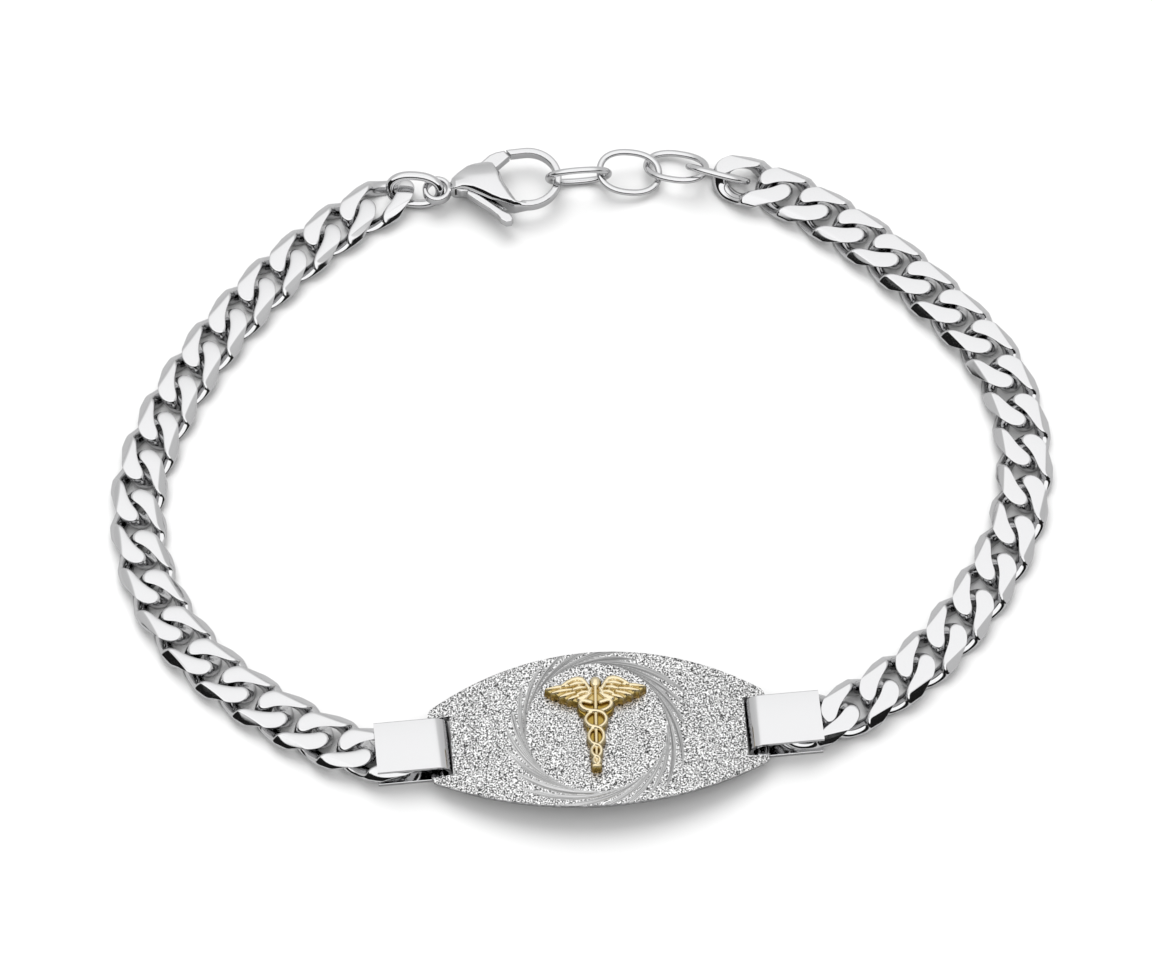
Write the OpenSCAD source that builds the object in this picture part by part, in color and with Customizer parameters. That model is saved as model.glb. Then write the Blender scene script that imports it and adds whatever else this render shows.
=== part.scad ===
// Medical alert bracelet, closed and lying on a flat surface. An arched oval plate with a raised emblem
// is at the front (-Y). A folded strap loop at each end of it holds a filed curb chain, and the chain
// closes at the back with a jump ring, a lobster clasp and four extender links. Millimetres, +Z up.

/* [Plate] */
// Length of the plate from end to end
plate_l = 27; // [25:0.5:30]
// Width of the plate at its middle
plate_w = 13.4; // [12.8:0.2:15]
// Thickness of the plate
plate_t = 0.85; // [0.7:0.05:1]
// Radius of the plate's two long edges, seen from above
plate_edge_r = 26.8; // [25:0.2:30]
// Radius of the plate's arch over the wrist
plate_arch_r = 63; // [50:1:80]
// Radius of the plate's four corners
plate_corner_r = 0.8; // [0.5:0.1:1.1]
// Width of the bar left between each slot and the plate's end
bar_w = 0.95; // [0.8:0.05:1.1]

/* [Strap loops] */
// Length of a strap loop from its bend to its mouth
strap_l = 5.95; // [5.6:0.05:6.6]
// Width of the strip
strap_w = 4.4; // [4:0.1:5]
// Thickness of the strip
strap_t = 0.35; // [0.3:0.05:0.4]
// Height of the folded loop
strap_h = 2.6; // [2.55:0.05:3]
// Diameter of the post across the loop's mouth
post_d = 0.8; // [0.6:0.05:0.9]

/* [Curb chain] */
// Number of curb links on each side
links_per_side = 19; // [12:1:24]
// Pitch of the links on the right, as the chain lies
pitch_right = 3.75; // [3.7:0.01:3.9]
// Pitch of the links on the left, as the chain lies
pitch_left = 3.79; // [3.7:0.005:3.9]
// Length of a link's wire loop, middle to middle of the wire
loop_l = 5.6; // [5.5:0.02:5.7]
// Width of a link's wire loop before it is twisted, middle to middle of the wire
loop_w = 3.6; // [3.5:0.02:3.8]
// Diameter of the link's wire
loop_wire_d = 1.4; // [1.2:0.02:1.44]
// Twist of a link at each of its ends, in degrees
loop_twist = 52; // [48:1:58]
// Thickness of the chain where its faces are filed flat
chain_t = 1.64; // [1.5:0.02:1.8]
// Width of the chain across its filed sides
chain_w = 4.68; // [4.4:0.04:4.9]
// Width of the filed bevel between a face and a side
chain_bevel = 0.65; // [0.4:0.05:0.75]

/* [Jump ring] */
// Length of the oval jump ring
ring_l = 5; // [4.9:0.02:5.1]
// Width of the oval jump ring
ring_w = 3.44; // [3.4:0.02:3.6]
// Diameter of its wire
ring_wire_d = 0.76; // [0.6:0.02:0.8]

/* [Clasp] */
// Distance from the middle of the eye to the middle of the hook
clasp_l = 7.68; // [7.4:0.05:8]
// Inner radius of the hook
hook_r = 2.3; // [2.2:0.02:2.4]
// Width of the hook's band, seen from above
hook_band = 0.58; // [0.5:0.02:0.7]
// Height of the hook's band
hook_h = 0.98; // [0.8:0.02:1.1]
// Radius of the hole in the eye
eye_r = 0.78; // [0.74:0.01:0.84]
// Width of the eye's rim
eye_rim = 0.44; // [0.38:0.02:0.5]
// Height of the eye
eye_h = 0.92; // [0.8:0.02:1]
// Height of the clasp's body at its crown
body_h = 2.9; // [2.7:0.05:3]
// Distance from the middle of the eye to the lever's pin
pin_reach = 2.2; // [2.1:0.05:2.3]
// Distance from the pin to the tip of the gate
gate_reach = 4.75; // [4.7:0.01:4.85]
// Distance from the pin to the end of the thumb lever
thumb_reach = 5.6; // [5.2:0.1:6]
// Height of the lever
lever_h = 0.9; // [0.8:0.05:1]
// Radius of the lever's pin
pin_r = 0.42; // [0.36:0.02:0.46]
// Wall of the lever's hub round its bore
hub_wall = 0.36; // [0.3:0.02:0.4]
// Running clearance between the lever's bore and its pin
pin_gap = 0.05; // [0.03:0.01:0.08]
// Clearance between the lever and each cheek of the slot
slot_gap = 0.08; // [0.06:0.01:0.12]

/* [Extender] */
// Length of an extender link
extender_l = 5.66; // [5.6:0.01:5.72]
// Width of an extender link
extender_w = 4; // [3.9:0.01:4.1]
// Diameter of its wire
extender_wire_d = 0.56; // [0.5:0.01:0.6]

/* [Emblem] */
// Height of the emblem from its foot to the top of its staff
emblem_l = 8.3; // [7.5:0.1:9]
// Span of the emblem's wings
emblem_w = 8.1; // [7:0.1:8.6]
// Height of the emblem's relief over the plate
emblem_t = 1.3; // [1:0.05:1.5]
// Width of the raised cord that winds round the staff
snake_w = 0.26; // [0.2:0.02:0.34]

/* [Hidden] */
LEFT_LINKS = [for (i = [1:links_per_side]) str("curb_link_left_", i)];
RIGHT_LINKS = [for (i = [1:links_per_side]) str("curb_link_right_", i)];
EXTENDER = [for (i = [1:4]) str("extender_link_", i)];

steel_colour = "silver";
gold_colour = "goldenrod";

// Turning points of the bracelet's middle line, from the plate round to the right, chosen by hand
route_points = [
    [1.3, -24.24], [14.3, -23.34], [18.7, -22.74], [22.2, -21.24], [27.9, -16.74], [32.5, -10.64],
    [35.6, -3.74], [36.1, 3.56], [34, 10.56], [29.2, 16.66], [23.7, 21.96], [17.7, 26.16],
    [14.25, 27.51], [11.3, 27.96], [7.8, 28.96], [3.85, 28.26], [-0.45, 27.61], [-4.75, 27.41],
    [-12.35, 26.31], [-14.25, 26.46], [-17.4, 25.51], [-20.5, 23.26], [-26, 18.06], [-30.7, 11.86],
    [-34.3, 5.06], [-36.2, -2.14], [-35.1, -9.64], [-31.5, -16.04], [-25.7, -21.14], [-19.45, -24.79],
    [-15.9, -25.84], [-11.7, -25.24]
];
// Straight steps into which each stretch between two turning points is divided
route_steps = 12;

// Roundness of the wire loops: 2 is an ellipse, more is squarer
curb_roundness = 2.4;
oval_roundness = 2.3;
// How a curb link's twist grows from its middle to its ends
twist_growth = 0.7;
// Stations round a wire loop, and sides of a wire
loop_stations = 16;
wire_sides = 6;
// How much wider a six-sided wire is over its corners than the round wire of the same section
wire_corner = 1.05;

// The last links climb from the surface into the strap loop, and the first one on the right is tipped
// up by the extender that runs under it
climbing_links = 3;
climb = 0.15;
tip_lift = 0.2;
tip_nose = 3;
// Single links of each side that lie turned out of the middle line: on the right the second, and on the
// left the first, which the jump ring pulls, and the last ones, which share the bend at the strap loop
right_turns = [[2, 2]];
left_turns = [[1, 9.5], [18, 2], [19, -8]];

// A link that is threaded into its neighbour: how far it has slipped in past their touching tips, the
// height of its middle, its turn from the middle line, its nose's rise and its roll, in degrees
slip = 0;
height = 1;
turn = 2;
nose = 3;
roll = 4;
extender_table = [
    [0.75, 1.94, -0.8, 0, 74],
    [1.07, 1.42, -9.6, 11.4, -20.2],
    [1.44, 1.26, -12.5, -9.2, 18],
    [2.37, 1.75, -2.8, 4.1, 57.6]
];
hook_slip = 0.83;
ring_table = [1.6, 1.56, -4.3, -1, -59.2];
eye_slip = 1.2;

// Turn of the clasp from the middle line, the height of its middle, and its hook's rise over that
clasp_turn = 1.95;
clasp_height = 1.6;
hook_rise = 0.15;
// The lever's pin lies a little to the outer side of the clasp's middle line
pin_side = 0.12;

// The emblem's place and turn on the plate
emblem_at = [-0.15, 0];
emblem_turn = -2;
// Gap under the emblem
emblem_gap = 0.02;

// Sizes that follow from the ones above
loop_a = loop_l / 2;
loop_b = loop_w / 2;
extender_a = (extender_l - extender_wire_d) / 2;
extender_b = (extender_w - extender_wire_d) / 2;
ring_a = (ring_l - ring_wire_d) / 2;
ring_b = (ring_w - ring_wire_d) / 2;
hook_mean_r = hook_r + hook_band / 2;
eye_mean_r = eye_r + eye_rim / 2;

// The bar at the plate's end lies in the bend of the strap loop
bend_offset = 0.1;
bar_x = plate_l / 2 - bar_w / 2;
bar_z = strap_h / 2 - 0.05;
bend_reach = strap_h / 2 - bend_offset;
slot_gap_x = 0.15;
slot_gap_y = 0.15;
strap_swing = 1.5;
strap_shift = -0.15;
// The last link's middle lies just inside the strap loop's mouth, and the post stands in its hole
mouth_inset = 0.25;
post_inset = 1.25;
strap_reach = strap_l - bend_reach - mouth_inset;

// Stations along the middle line, from the middle of the plate to the right, over the back and down
last_right_at = bar_x + strap_reach;
first_right_at = last_right_at + (links_per_side - 1) * pitch_right;
extender_4_at = first_right_at + loop_a + extender_a - extender_table[3][slip];
extender_3_at = extender_4_at + 2 * extender_a - extender_table[2][slip];
extender_2_at = extender_3_at + 2 * extender_a - extender_table[1][slip];
extender_1_at = extender_2_at + 2 * extender_a - extender_table[0][slip];
extender_at = [extender_1_at, extender_2_at, extender_3_at, extender_4_at];
hook_at = extender_1_at + extender_a + hook_mean_r - hook_slip;
ring_at = hook_at + clasp_l + eye_mean_r + ring_a - eye_slip;
first_left_at = ring_at + ring_a + loop_a - ring_table[slip];
last_left_at = first_left_at + (links_per_side - 1) * pitch_left;
loop_length = last_left_at + last_right_at;

// The middle line: a smooth closed curve through the turning points, sized to the bracelet's length
function smooth(a, b, c, d, t) =
    b + t * (c - a) / 2 + t * t * (a - 2.5 * b + 2 * c - 0.5 * d) + t * t * t * (3 * (b - c) + d - a) / 2;
turns = len(route_points);
route = [for (i = [0:turns - 1], k = [0:route_steps - 1])
    smooth(
        route_points[(i + turns - 1) % turns], route_points[i],
        route_points[(i + 1) % turns], route_points[(i + 2) % turns], k / route_steps
    )];
steps = len(route);
step_l = [for (i = [0:steps - 1]) norm(route[(i + 1) % steps] - route[i])];
run = [for (i = 0, s = 0; i <= steps; s = s + step_l[i % steps], i = i + 1) s];
run_x = [for (i = [0:steps]) [run[i], route[i % steps].x]];
run_y = [for (i = [0:steps]) [run[i], route[i % steps].y]];
route_scale = loop_length / run[steps];
function wrapped(s) = s - loop_length * floor(s / loop_length);
function route_at(s) =
    let (u = wrapped(s) / route_scale) [lookup(u, run_x), lookup(u, run_y)] * route_scale;
function direction_at(s) =
    let (d = route_at(s + 0.4) - route_at(s - 0.4)) atan2(d.y, d.x);

// Puts a piece on the middle line at a station, turned from it, nosed up and rolled
module at_station(s, z, turn_by = 0, nose_by = 0, roll_by = 0) {
    p = route_at(s);
    translate([p.x, p.y, z])
        rotate([0, 0, direction_at(s) + turn_by])
            rotate([0, -nose_by, 0])
                rotate([roll_by, 0, 0])
                    children();
}

// A wire of six sides along a closed ring of points
function unit(v) = v / norm(v);
module ring_tube(points, wire_d) {
    n = len(points);
    r = wire_corner * wire_d / 2;
    verts = [for (i = [0:n - 1])
        let (
            along = unit(points[(i + 1) % n] - points[(i + n - 1) % n]),
            side = unit(cross([0, 0, 1], along)),
            up = cross(along, side)
        )
        for (k = [0:wire_sides - 1])
            let (u = 360 * (k + 0.5) / wire_sides)
                points[i] + r * (cos(u) * side + sin(u) * up)];
    faces = [for (i = [0:n - 1], k = [0:wire_sides - 1])
        let (
            a = i * wire_sides,
            b = ((i + 1) % n) * wire_sides,
            m = (k + 1) % wire_sides
        )
        each [[a + k, b + k, b + m], [a + k, b + m, a + m]]];
    polyhedron(verts, faces, convexity = 6);
}

// A point of a superelliptic loop
function power(v, e) = sign(v) * pow(abs(v), e);
function oval_point(a, b, roundness, t) =
    [a * power(cos(t), 2 / roundness), b * power(sin(t), 2 / roundness)];
function oval_points(a, b, n) =
    [for (i = [0:n - 1]) let (p = oval_point(a, b, oval_roundness, 360 * i / n)) [p.x, p.y, 0]];

// A curb link: its wire loop is an oval whose two ends are twisted the opposite way round X
function lean_at(x) = -loop_twist * sign(x) * pow(abs(x) / loop_a, twist_growth);
function curb_point(t) =
    let (p = oval_point(loop_a, loop_b, curb_roundness, t), lean = lean_at(p.x))
        [p.x, p.y * cos(lean), p.y * sin(lean)];

// The room that filing leaves: flat faces above and below, flat sides and a bevel between them
module filed_room() {
    y = chain_w / 2;
    z = chain_t / 2;
    rotate([90, 0, 90])
        linear_extrude(loop_l + 2 * loop_wire_d, center = true)
            polygon([
                [y - chain_bevel, -z], [y, chain_bevel - z], [y, z - chain_bevel], [y - chain_bevel, z],
                [chain_bevel - y, z], [-y, z - chain_bevel], [-y, chain_bevel - z], [chain_bevel - y, -z]
            ]);
}

module curb_link() {
    color(steel_colour)
        intersection() {
            ring_tube([for (i = [0:loop_stations - 1]) curb_point(360 * i / loop_stations)], loop_wire_d);
            filed_room();
        }
}

// Height of the middle of link i: the last ones climb into the strap loop
function link_z(i) = chain_t / 2 + climb * max(0, i - (links_per_side - climbing_links));

// Turn of link i out of the middle line, where the list gives it one
function turn_of(i, turns) =
    let (found = [for (row = turns) if (row[0] == i) row[1]]) len(found) > 0 ? found[0] : 0;

module curb_link_right(i) {
    tipped = i == 1 ? 1 : 0;
    at_station(
        first_right_at - (i - 1) * pitch_right, link_z(i) + tipped * tip_lift, turn_of(i, right_turns),
        tipped * tip_nose
    )
        curb_link();
}

module curb_link_left(i) {
    at_station(first_left_at + (i - 1) * pitch_left, link_z(i), turn_of(i, left_turns))
        curb_link();
}

// Frame of the plate: X along it, Y across, Z up, with the arch's lowest points at the bars
arch_z = bar_z - sqrt(plate_arch_r * plate_arch_r - bar_x * bar_x);
arch_top_r = plate_arch_r + plate_t / 2;

module in_plate_frame() {
    p = route_at(0);
    translate([p.x, p.y, 0])
        rotate([0, 0, direction_at(0)])
            children();
}

// A bar-like cylinder across the plate, of the radius of its arch
module arch_cylinder(r) {
    translate([0, 0, arch_z])
        rotate([90, 0, 0])
            cylinder(r = r, h = 2 * plate_w, center = true, $fn = 200);
}

module plate_outline() {
    disc_y = plate_w / 2 - plate_edge_r;
    corner_x = plate_l / 2 - plate_corner_r;
    corner_y = disc_y + sqrt(pow(plate_edge_r - plate_corner_r, 2) - corner_x * corner_x);
    intersection() {
        translate([0, disc_y]) circle(r = plate_edge_r, $fn = 180);
        translate([0, -disc_y]) circle(r = plate_edge_r, $fn = 180);
        square([2 * corner_x, plate_w], center = true);
    }
    square([plate_l, 2 * corner_y], center = true);
    for (x = [-1, 1], y = [-1, 1])
        translate([x * corner_x, y * corner_y]) circle(r = plate_corner_r, $fn = 40);
}

module id_plate() {
    slot_out = bar_x - bar_w / 2;
    slot_in = bar_x - bend_reach - slot_gap_x;
    color(steel_colour)
        in_plate_frame()
            intersection() {
                difference() {
                    arch_cylinder(arch_top_r);
                    arch_cylinder(arch_top_r - plate_t);
                }
                linear_extrude(plate_arch_r)
                    difference() {
                        plate_outline();
                        for (side = [-1, 1])
                            translate([side * (slot_in + slot_out) / 2, 0])
                                square([slot_out - slot_in, strap_w + 2 * slot_gap_y], center = true);
                    }
            }
}

// Half outlines of the emblem as shares of its half span and of its length, measured from its middle
wing_shares = [
    [0.12, 0.4], [0.2, 0.42], [0.32, 0.482], [0.49, 0.458], [0.68, 0.41], [1, 0.365],
    [0.82, 0.313], [0.62, 0.277], [0.33, 0.235]
];
column_shares = [[0.335, 0.2], [0.33, 0.04], [0.215, -0.07], [0.178, -0.2], [0.148, -0.315], [0.128, -0.43]];
foot_shares = [[0.09, -0.485], [0, -0.503]];
feather_shares = [[0.12, 0.3], [0.3, 0.46], [0.46, 0.44], [0.7, 0.38], [0.66, 0.31], [0.33, 0.26]];
shoulder_shares = [[0.12, 0.3], [0.28, 0.44], [0.42, 0.41], [0.45, 0.335], [0.3, 0.285]];
// Loops of the winding cord, each with its middle's height, half height and half width as shares
loop_shares = [
    [0.181, 0.075, 0.32], [0.048, 0.09, 0.232], [-0.114, 0.095, 0.173], [-0.27, 0.082, 0.105],
    [-0.405, 0.068, 0.08]
];
// Heights of the emblem's layers, as shares of its relief
slab_share = 0.55;
wing_share = 0.78;
cord_share = 0.84;
feather_share = 0.9;
staff_share = 0.94;
ball_share = 0.98;

function emblem_half(shares, side) =
    [for (p = shares) [side * p.x * emblem_w / 2, p.y * emblem_l]];
function backwards(list) = [for (i = [len(list) - 1:-1:0]) list[i]];

module emblem_layer(share) {
    crown_z = arch_z + arch_top_r;
    translate([0, 0, crown_z - 1])
        linear_extrude(1 + share * emblem_t)
            children();
}

module cord_loop(row) {
    n = 20;
    a = row[2] * emblem_w / 2;
    b = row[1] * emblem_l;
    translate([0, row[0] * emblem_l])
        difference() {
            polygon([for (i = [0:n - 1]) [a * cos(360 * i / n), b * sin(360 * i / n)]]);
            polygon([for (i = [0:n - 1])
                [(a - snake_w) * cos(360 * i / n), (b - snake_w) * sin(360 * i / n)]]);
        }
}

module emblem_layers() {
    staff_w = 0.36;
    ball_r = 0.45;
    ball_at = 0.45;
    whole = concat(wing_shares, column_shares, foot_shares);
    emblem_layer(slab_share)
        polygon(concat(emblem_half(whole, 1), backwards(emblem_half(whole, -1))));
    for (side = [-1, 1]) {
        emblem_layer(wing_share) polygon(emblem_half(wing_shares, side));
        emblem_layer(feather_share) polygon(emblem_half(feather_shares, side));
        emblem_layer(1) polygon(emblem_half(shoulder_shares, side));
    }
    emblem_layer(staff_share)
        translate([-staff_w / 2, -0.44 * emblem_l]) square([staff_w, 0.86 * emblem_l]);
    emblem_layer(cord_share)
        for (row = loop_shares)
            cord_loop(row);
    emblem_layer(ball_share)
        translate([0, ball_at * emblem_l]) circle(r = ball_r, $fn = 32);
}

module caduceus_emblem() {
    color(gold_colour)
        in_plate_frame()
            difference() {
                translate([emblem_at.x, emblem_at.y, 0])
                    rotate([0, 0, emblem_turn])
                        emblem_layers();
                arch_cylinder(arch_top_r + emblem_gap);
            }
}

// A strap loop's strip, seen from the front: a fold whose bend lies round the plate's bar
module strap_profile(inset) {
    leg_l = strap_l - bend_reach - bend_offset;
    translate([bend_offset, strap_h / 2]) circle(r = strap_h / 2 - inset, $fn = 64);
    translate([bend_offset, inset]) square([leg_l + (inset > 0 ? 1 : 0), strap_h - 2 * inset]);
}

module strap_loop(side) {
    post_at = side > 0 ? last_right_at : last_left_at;
    color(steel_colour) {
        in_plate_frame()
            translate([side * bar_x, side > 0 ? 0 : strap_shift, 0])
                rotate([90, 0, strap_swing + (side > 0 ? 0 : 180)])
                    linear_extrude(strap_w, center = true)
                        difference() {
                            strap_profile(0);
                            strap_profile(strap_t);
                        }
        at_station(post_at, strap_t / 2)
            translate([-side * post_inset, 0, 0])
                cylinder(d = post_d, h = strap_h - strap_t, $fn = 32);
    }
}

module strap_loop_left() {
    strap_loop(-1);
}

module strap_loop_right() {
    strap_loop(1);
}

module jump_ring() {
    color(steel_colour)
        at_station(ring_at, ring_table[height], ring_table[turn], ring_table[nose], ring_table[roll])
            ring_tube(oval_points(ring_a, ring_b, loop_stations), ring_wire_d);
}

module extender_link(i) {
    row = extender_table[i - 1];
    color(steel_colour)
        at_station(extender_at[i - 1], row[height], row[turn], row[nose], row[roll])
            ring_tube(oval_points(extender_a, extender_b, loop_stations), extender_wire_d);
}

// Frame of the clasp: the hook's middle is the origin, X points from the eye to the hook
module in_clasp_frame() {
    at_station(hook_at, clasp_height, clasp_turn + 180)
        children();
}

pin_at = [pin_reach - clasp_l, pin_side];
hub_r = pin_r + pin_gap + hub_wall;
slot_h = lever_h + 2 * slot_gap;
hook_tip_x = -2;
// The hook's tip stops this far from the gate's
tip_gap = 0.1;

function from_pin(r, angle) = pin_at + r * [cos(angle), sin(angle)];

// Outline of the clasp's body from the neck over the outer side, along the hook's hole and back, as
// shares of the distance from the hook's middle to the eye's
body_shares = [
    [-0.83, 0.075], [-0.73, 0.145], [-0.64, 0.205], [-0.56, 0.235], [-0.48, 0.246], [-0.41, 0.24],
    [-0.36, 0.21], [-0.32, 0.125], [-0.29, 0.08], [-0.27, -0.04], [-0.215, -0.17], [-0.16, -0.285],
    [-0.07, -0.34], [-0.19, -0.332], [-0.325, -0.272], [-0.43, -0.217], [-0.53, -0.142],
    [-0.63, -0.075], [-0.73, -0.045], [-0.83, -0.055]
];
// Radii of the body's crown across and along it, and the share of its length where it is highest
crown_across_r = 3.2;
crown_along_r = 6.58;
crown_share = -0.445;
crown_side = -0.2;

// Two crossed cylinders leave a pillow between them, of the body's height
module pillow(r, turned) {
    lift = body_h / 2 - r;
    intersection() {
        translate([0, 0, lift]) rotate(turned) cylinder(r = r, h = 4 * clasp_l, center = true, $fn = 128);
        translate([0, 0, -lift]) rotate(turned) cylinder(r = r, h = 4 * clasp_l, center = true, $fn = 128);
    }
}

module body_block() {
    intersection() {
        linear_extrude(body_h, center = true) polygon(body_shares * clasp_l);
        translate([0, crown_side, 0]) pillow(crown_across_r, [0, 90, 0]);
        translate([crown_share * clasp_l, 0, 0]) pillow(crown_along_r, [90, 0, 0]);
    }
}

// The band of the hook or of the eye in section, with its corners taken off
module band_section(w, h) {
    x = w / 2;
    z = h / 2;
    c = w / 4;
    polygon([
        [x - c, -z], [x, c - z], [x, z - c], [x - c, z], [c - x, z], [-x, z - c], [-x, c - z], [c - x, -z]
    ]);
}

module hook() {
    hook_from = -105;
    joint_x = 0.1;
    difference() {
        translate([0, 0, hook_rise])
            union() {
                rotate([0, 0, hook_from])
                    rotate_extrude(angle = 90 - hook_from, $fn = 96)
                        translate([hook_mean_r, 0]) band_section(hook_band, hook_h);
                translate([joint_x, hook_mean_r, 0])
                    rotate([90, 0, -90])
                        linear_extrude(joint_x - hook_tip_x) band_section(hook_band, hook_h);
            }
        translate([pin_at.x, pin_at.y, 0])
            cylinder(r = gate_reach + tip_gap, h = body_h, center = true, $fn = 128);
    }
}

// The slot: a pocket round the lever's hub and a fan on each side, where the gate and thumb lever swing
module slot() {
    translate([0, 0, hook_rise])
        linear_extrude(slot_h, center = true) {
            translate(pin_at) circle(r = hub_r + tip_gap, $fn = 48);
            intersection() {
                translate(pin_at) circle(r = gate_reach + tip_gap, $fn = 128);
                union() {
                    polygon([pin_at, from_pin(7, -9), from_pin(7, 24), from_pin(7, 56)]);
                    polygon([pin_at, from_pin(7, -37), from_pin(7, -78), from_pin(7, -118)]);
                }
            }
        }
}

module clasp_body() {
    neck_w = 0.84;
    color(steel_colour)
        in_clasp_frame() {
            difference() {
                union() {
                    body_block();
                    translate([-clasp_l, -neck_w / 2, -eye_h / 2])
                        cube([pin_reach - hub_r, neck_w, eye_h]);
                }
                translate([-clasp_l, 0, 0]) cylinder(r = eye_mean_r, h = 2 * eye_h, center = true, $fn = 64);
                slot();
            }
            translate([-clasp_l, 0, 0])
                rotate_extrude($fn = 64)
                    translate([eye_mean_r, 0]) band_section(eye_rim, eye_h);
            hook();
            translate([pin_at.x, pin_at.y, hook_rise])
                cylinder(r = pin_r, h = slot_h + 0.2, center = true, $fn = 48);
        }
}

// Outlines of the gate and of the thumb lever: shares of their reach and angles seen from the pin
gate_shares = [
    [0.1, 35], [0.24, 21], [0.5, 20.5], [0.7, 21], [1, 26], [1, 35], [0.87, 40], [0.75, 43.5], [0.6, 45],
    [0.3, 52]
];
thumb_shares = [
    [0.1, -61], [0.2, -79], [0.46, -62], [0.6, -58], [0.86, -56], [0.97, -53], [1, -49.5], [0.98, -46],
    [0.89, -43.5], [0.6, -43.5], [0.2, -44]
];

module clasp_lever() {
    color(steel_colour)
        in_clasp_frame()
            translate([0, 0, hook_rise])
                difference() {
                    linear_extrude(lever_h, center = true) {
                        translate(pin_at) circle(r = hub_r, $fn = 48);
                        polygon([for (p = gate_shares) from_pin(p.x * gate_reach, p.y)]);
                        polygon([for (p = thumb_shares) from_pin(p.x * thumb_reach, p.y)]);
                    }
                    translate([pin_at.x, pin_at.y, 0])
                        cylinder(r = pin_r + pin_gap, h = 2 * lever_h, center = true, $fn = 48);
                }
}

id_plate();
caduceus_emblem();
strap_loop_left();
strap_loop_right();
for (i = [1:links_per_side]) {
    curb_link_left(i);
    curb_link_right(i);
}
jump_ring();
clasp_body();
clasp_lever();
for (i = [1:4])
    extender_link(i);
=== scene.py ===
# %% [markdown]
# # Medical alert bracelet
# A closed steel bracelet lies on a pale surface: an arched plate with a raised gold-coloured emblem, two
# folded strap loops, a filed curb chain, four oval extender links, a jump ring and a lobster clasp. The
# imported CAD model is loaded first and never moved. It gives each piece its place, and this script gives
# each piece its finer surface and its finish.

import math

import bmesh
import bpy
import numpy as np
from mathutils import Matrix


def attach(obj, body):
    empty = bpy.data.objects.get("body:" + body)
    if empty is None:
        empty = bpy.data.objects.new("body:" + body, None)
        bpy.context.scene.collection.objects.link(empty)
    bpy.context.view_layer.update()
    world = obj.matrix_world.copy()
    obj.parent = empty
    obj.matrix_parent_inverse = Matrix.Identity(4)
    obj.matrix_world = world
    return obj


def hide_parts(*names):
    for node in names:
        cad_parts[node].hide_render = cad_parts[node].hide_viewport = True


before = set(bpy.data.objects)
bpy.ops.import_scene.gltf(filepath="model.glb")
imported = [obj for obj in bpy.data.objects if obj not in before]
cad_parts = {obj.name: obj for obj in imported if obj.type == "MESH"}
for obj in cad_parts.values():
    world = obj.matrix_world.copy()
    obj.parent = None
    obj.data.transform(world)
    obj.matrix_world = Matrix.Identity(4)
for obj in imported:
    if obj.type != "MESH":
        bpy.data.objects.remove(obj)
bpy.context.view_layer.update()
MM = 0.001
SIDES, LINKS_A_SIDE = ("left", "right"), 19

# %% [markdown]
# The camera looks down at 62 degrees from the plate's side through a long lens, so the far side of the
# bracelet is only a little smaller than the near side. The point it looks at lies close to the middle of
# the wrist's hollow.

# %% the camera
ELEVATION = 62
DISTANCE = 419.84 * MM
AIM = np.array([-0.5, -1.24, 0]) * MM


def add_object(name, data):
    """An untransformed object of the given data, in the scene."""
    placed = bpy.data.objects.new(name, data)
    bpy.context.collection.objects.link(placed)
    return placed


def make_camera():
    """A camera at AIM plus DISTANCE along the line of sight, which climbs by ELEVATION from -Y."""
    angle = math.radians(ELEVATION)
    data = bpy.data.cameras.new("camera")
    data.sensor_width = 36
    data.lens = 160
    data.clip_start = 0.01
    data.clip_end = 10
    camera = add_object("camera", data)
    camera.location = AIM + DISTANCE * np.array([0, -math.cos(angle), math.sin(angle)])
    camera.rotation_euler = (math.pi / 2 - angle, 0, 0)
    bpy.context.scene.camera = camera
    return camera


print("camera at", tuple(round(v, 4) for v in make_camera().location))

# %% [markdown]
# Small helpers serve every material. One turns an sRGB hex value into the linear numbers that Blender
# works with. Another adds a node, sets its properties and fills its inputs in one line, so that a material
# reads as a short list. Inputs are filled by name or number, or as a row in the node's own order: a map
# range's row is the value, the range it comes from, and the range it goes to.

# %% colours and nodes


def linear(hex_colour):
    """Each sRGB share c becomes c/12.92 below 0.04045, and ((c + 0.055)/1.055)^2.4 above it."""
    shares = [int(hex_colour[k : k + 2], 16) / 255 for k in (1, 3, 5)]
    return [c / 12.92 if c <= 0.04045 else ((c + 0.055) / 1.055) ** 2.4 for c in shares] + [1]


def set_inputs(node, inputs):
    """Gives a node's inputs, by name or in their order, a value or a link each."""
    for name, value in inputs.items() if isinstance(inputs, dict) else enumerate(inputs):
        if isinstance(value, bpy.types.NodeSocket):
            node.id_data.links.new(value, node.inputs[name])
        else:
            node.inputs[name].default_value = value


def add_node(tree, kind, inputs=(), out=0, **settings):
    """Adds a shader node, sets its properties, then its inputs, and returns one of its outputs."""
    node = tree.nodes.new("ShaderNode" + kind)
    for name, value in settings.items():
        setattr(node, name, value)
    set_inputs(node, inputs)
    return node.outputs[out]


def new_material(name, inputs):
    """An empty material whose Principled shader has constants on its sockets; returns its parts."""
    material = bpy.data.materials.new(name)
    material.use_nodes = True
    tree = material.node_tree
    shader = tree.nodes["Principled BSDF"]
    set_inputs(shader, inputs)
    return material, tree, shader


print("sRGB #808080 is", round(linear("#808080")[0], 3), "in linear light")

# %% [markdown]
# The chain, the rings, the clasp and the straps are polished stainless steel. Polishing leaves a surface
# like a mirror with a very light haze and a few hairlines, so what the eye sees is the bright room and
# the one dark side of it. The base colour is the reflectance of steel, and a fine noise moves the
# roughness a little, as the buffing wheel does. Where the surroundings close in, as in the recesses
# between the links, the colour is painted darker: a painted shade, not a dull finish of the metal.

# %% polished steel
HAZE_MM, SWELL_MM, PAINTED_SHADE_MM = 0.3, 1.5, 1.0


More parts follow.
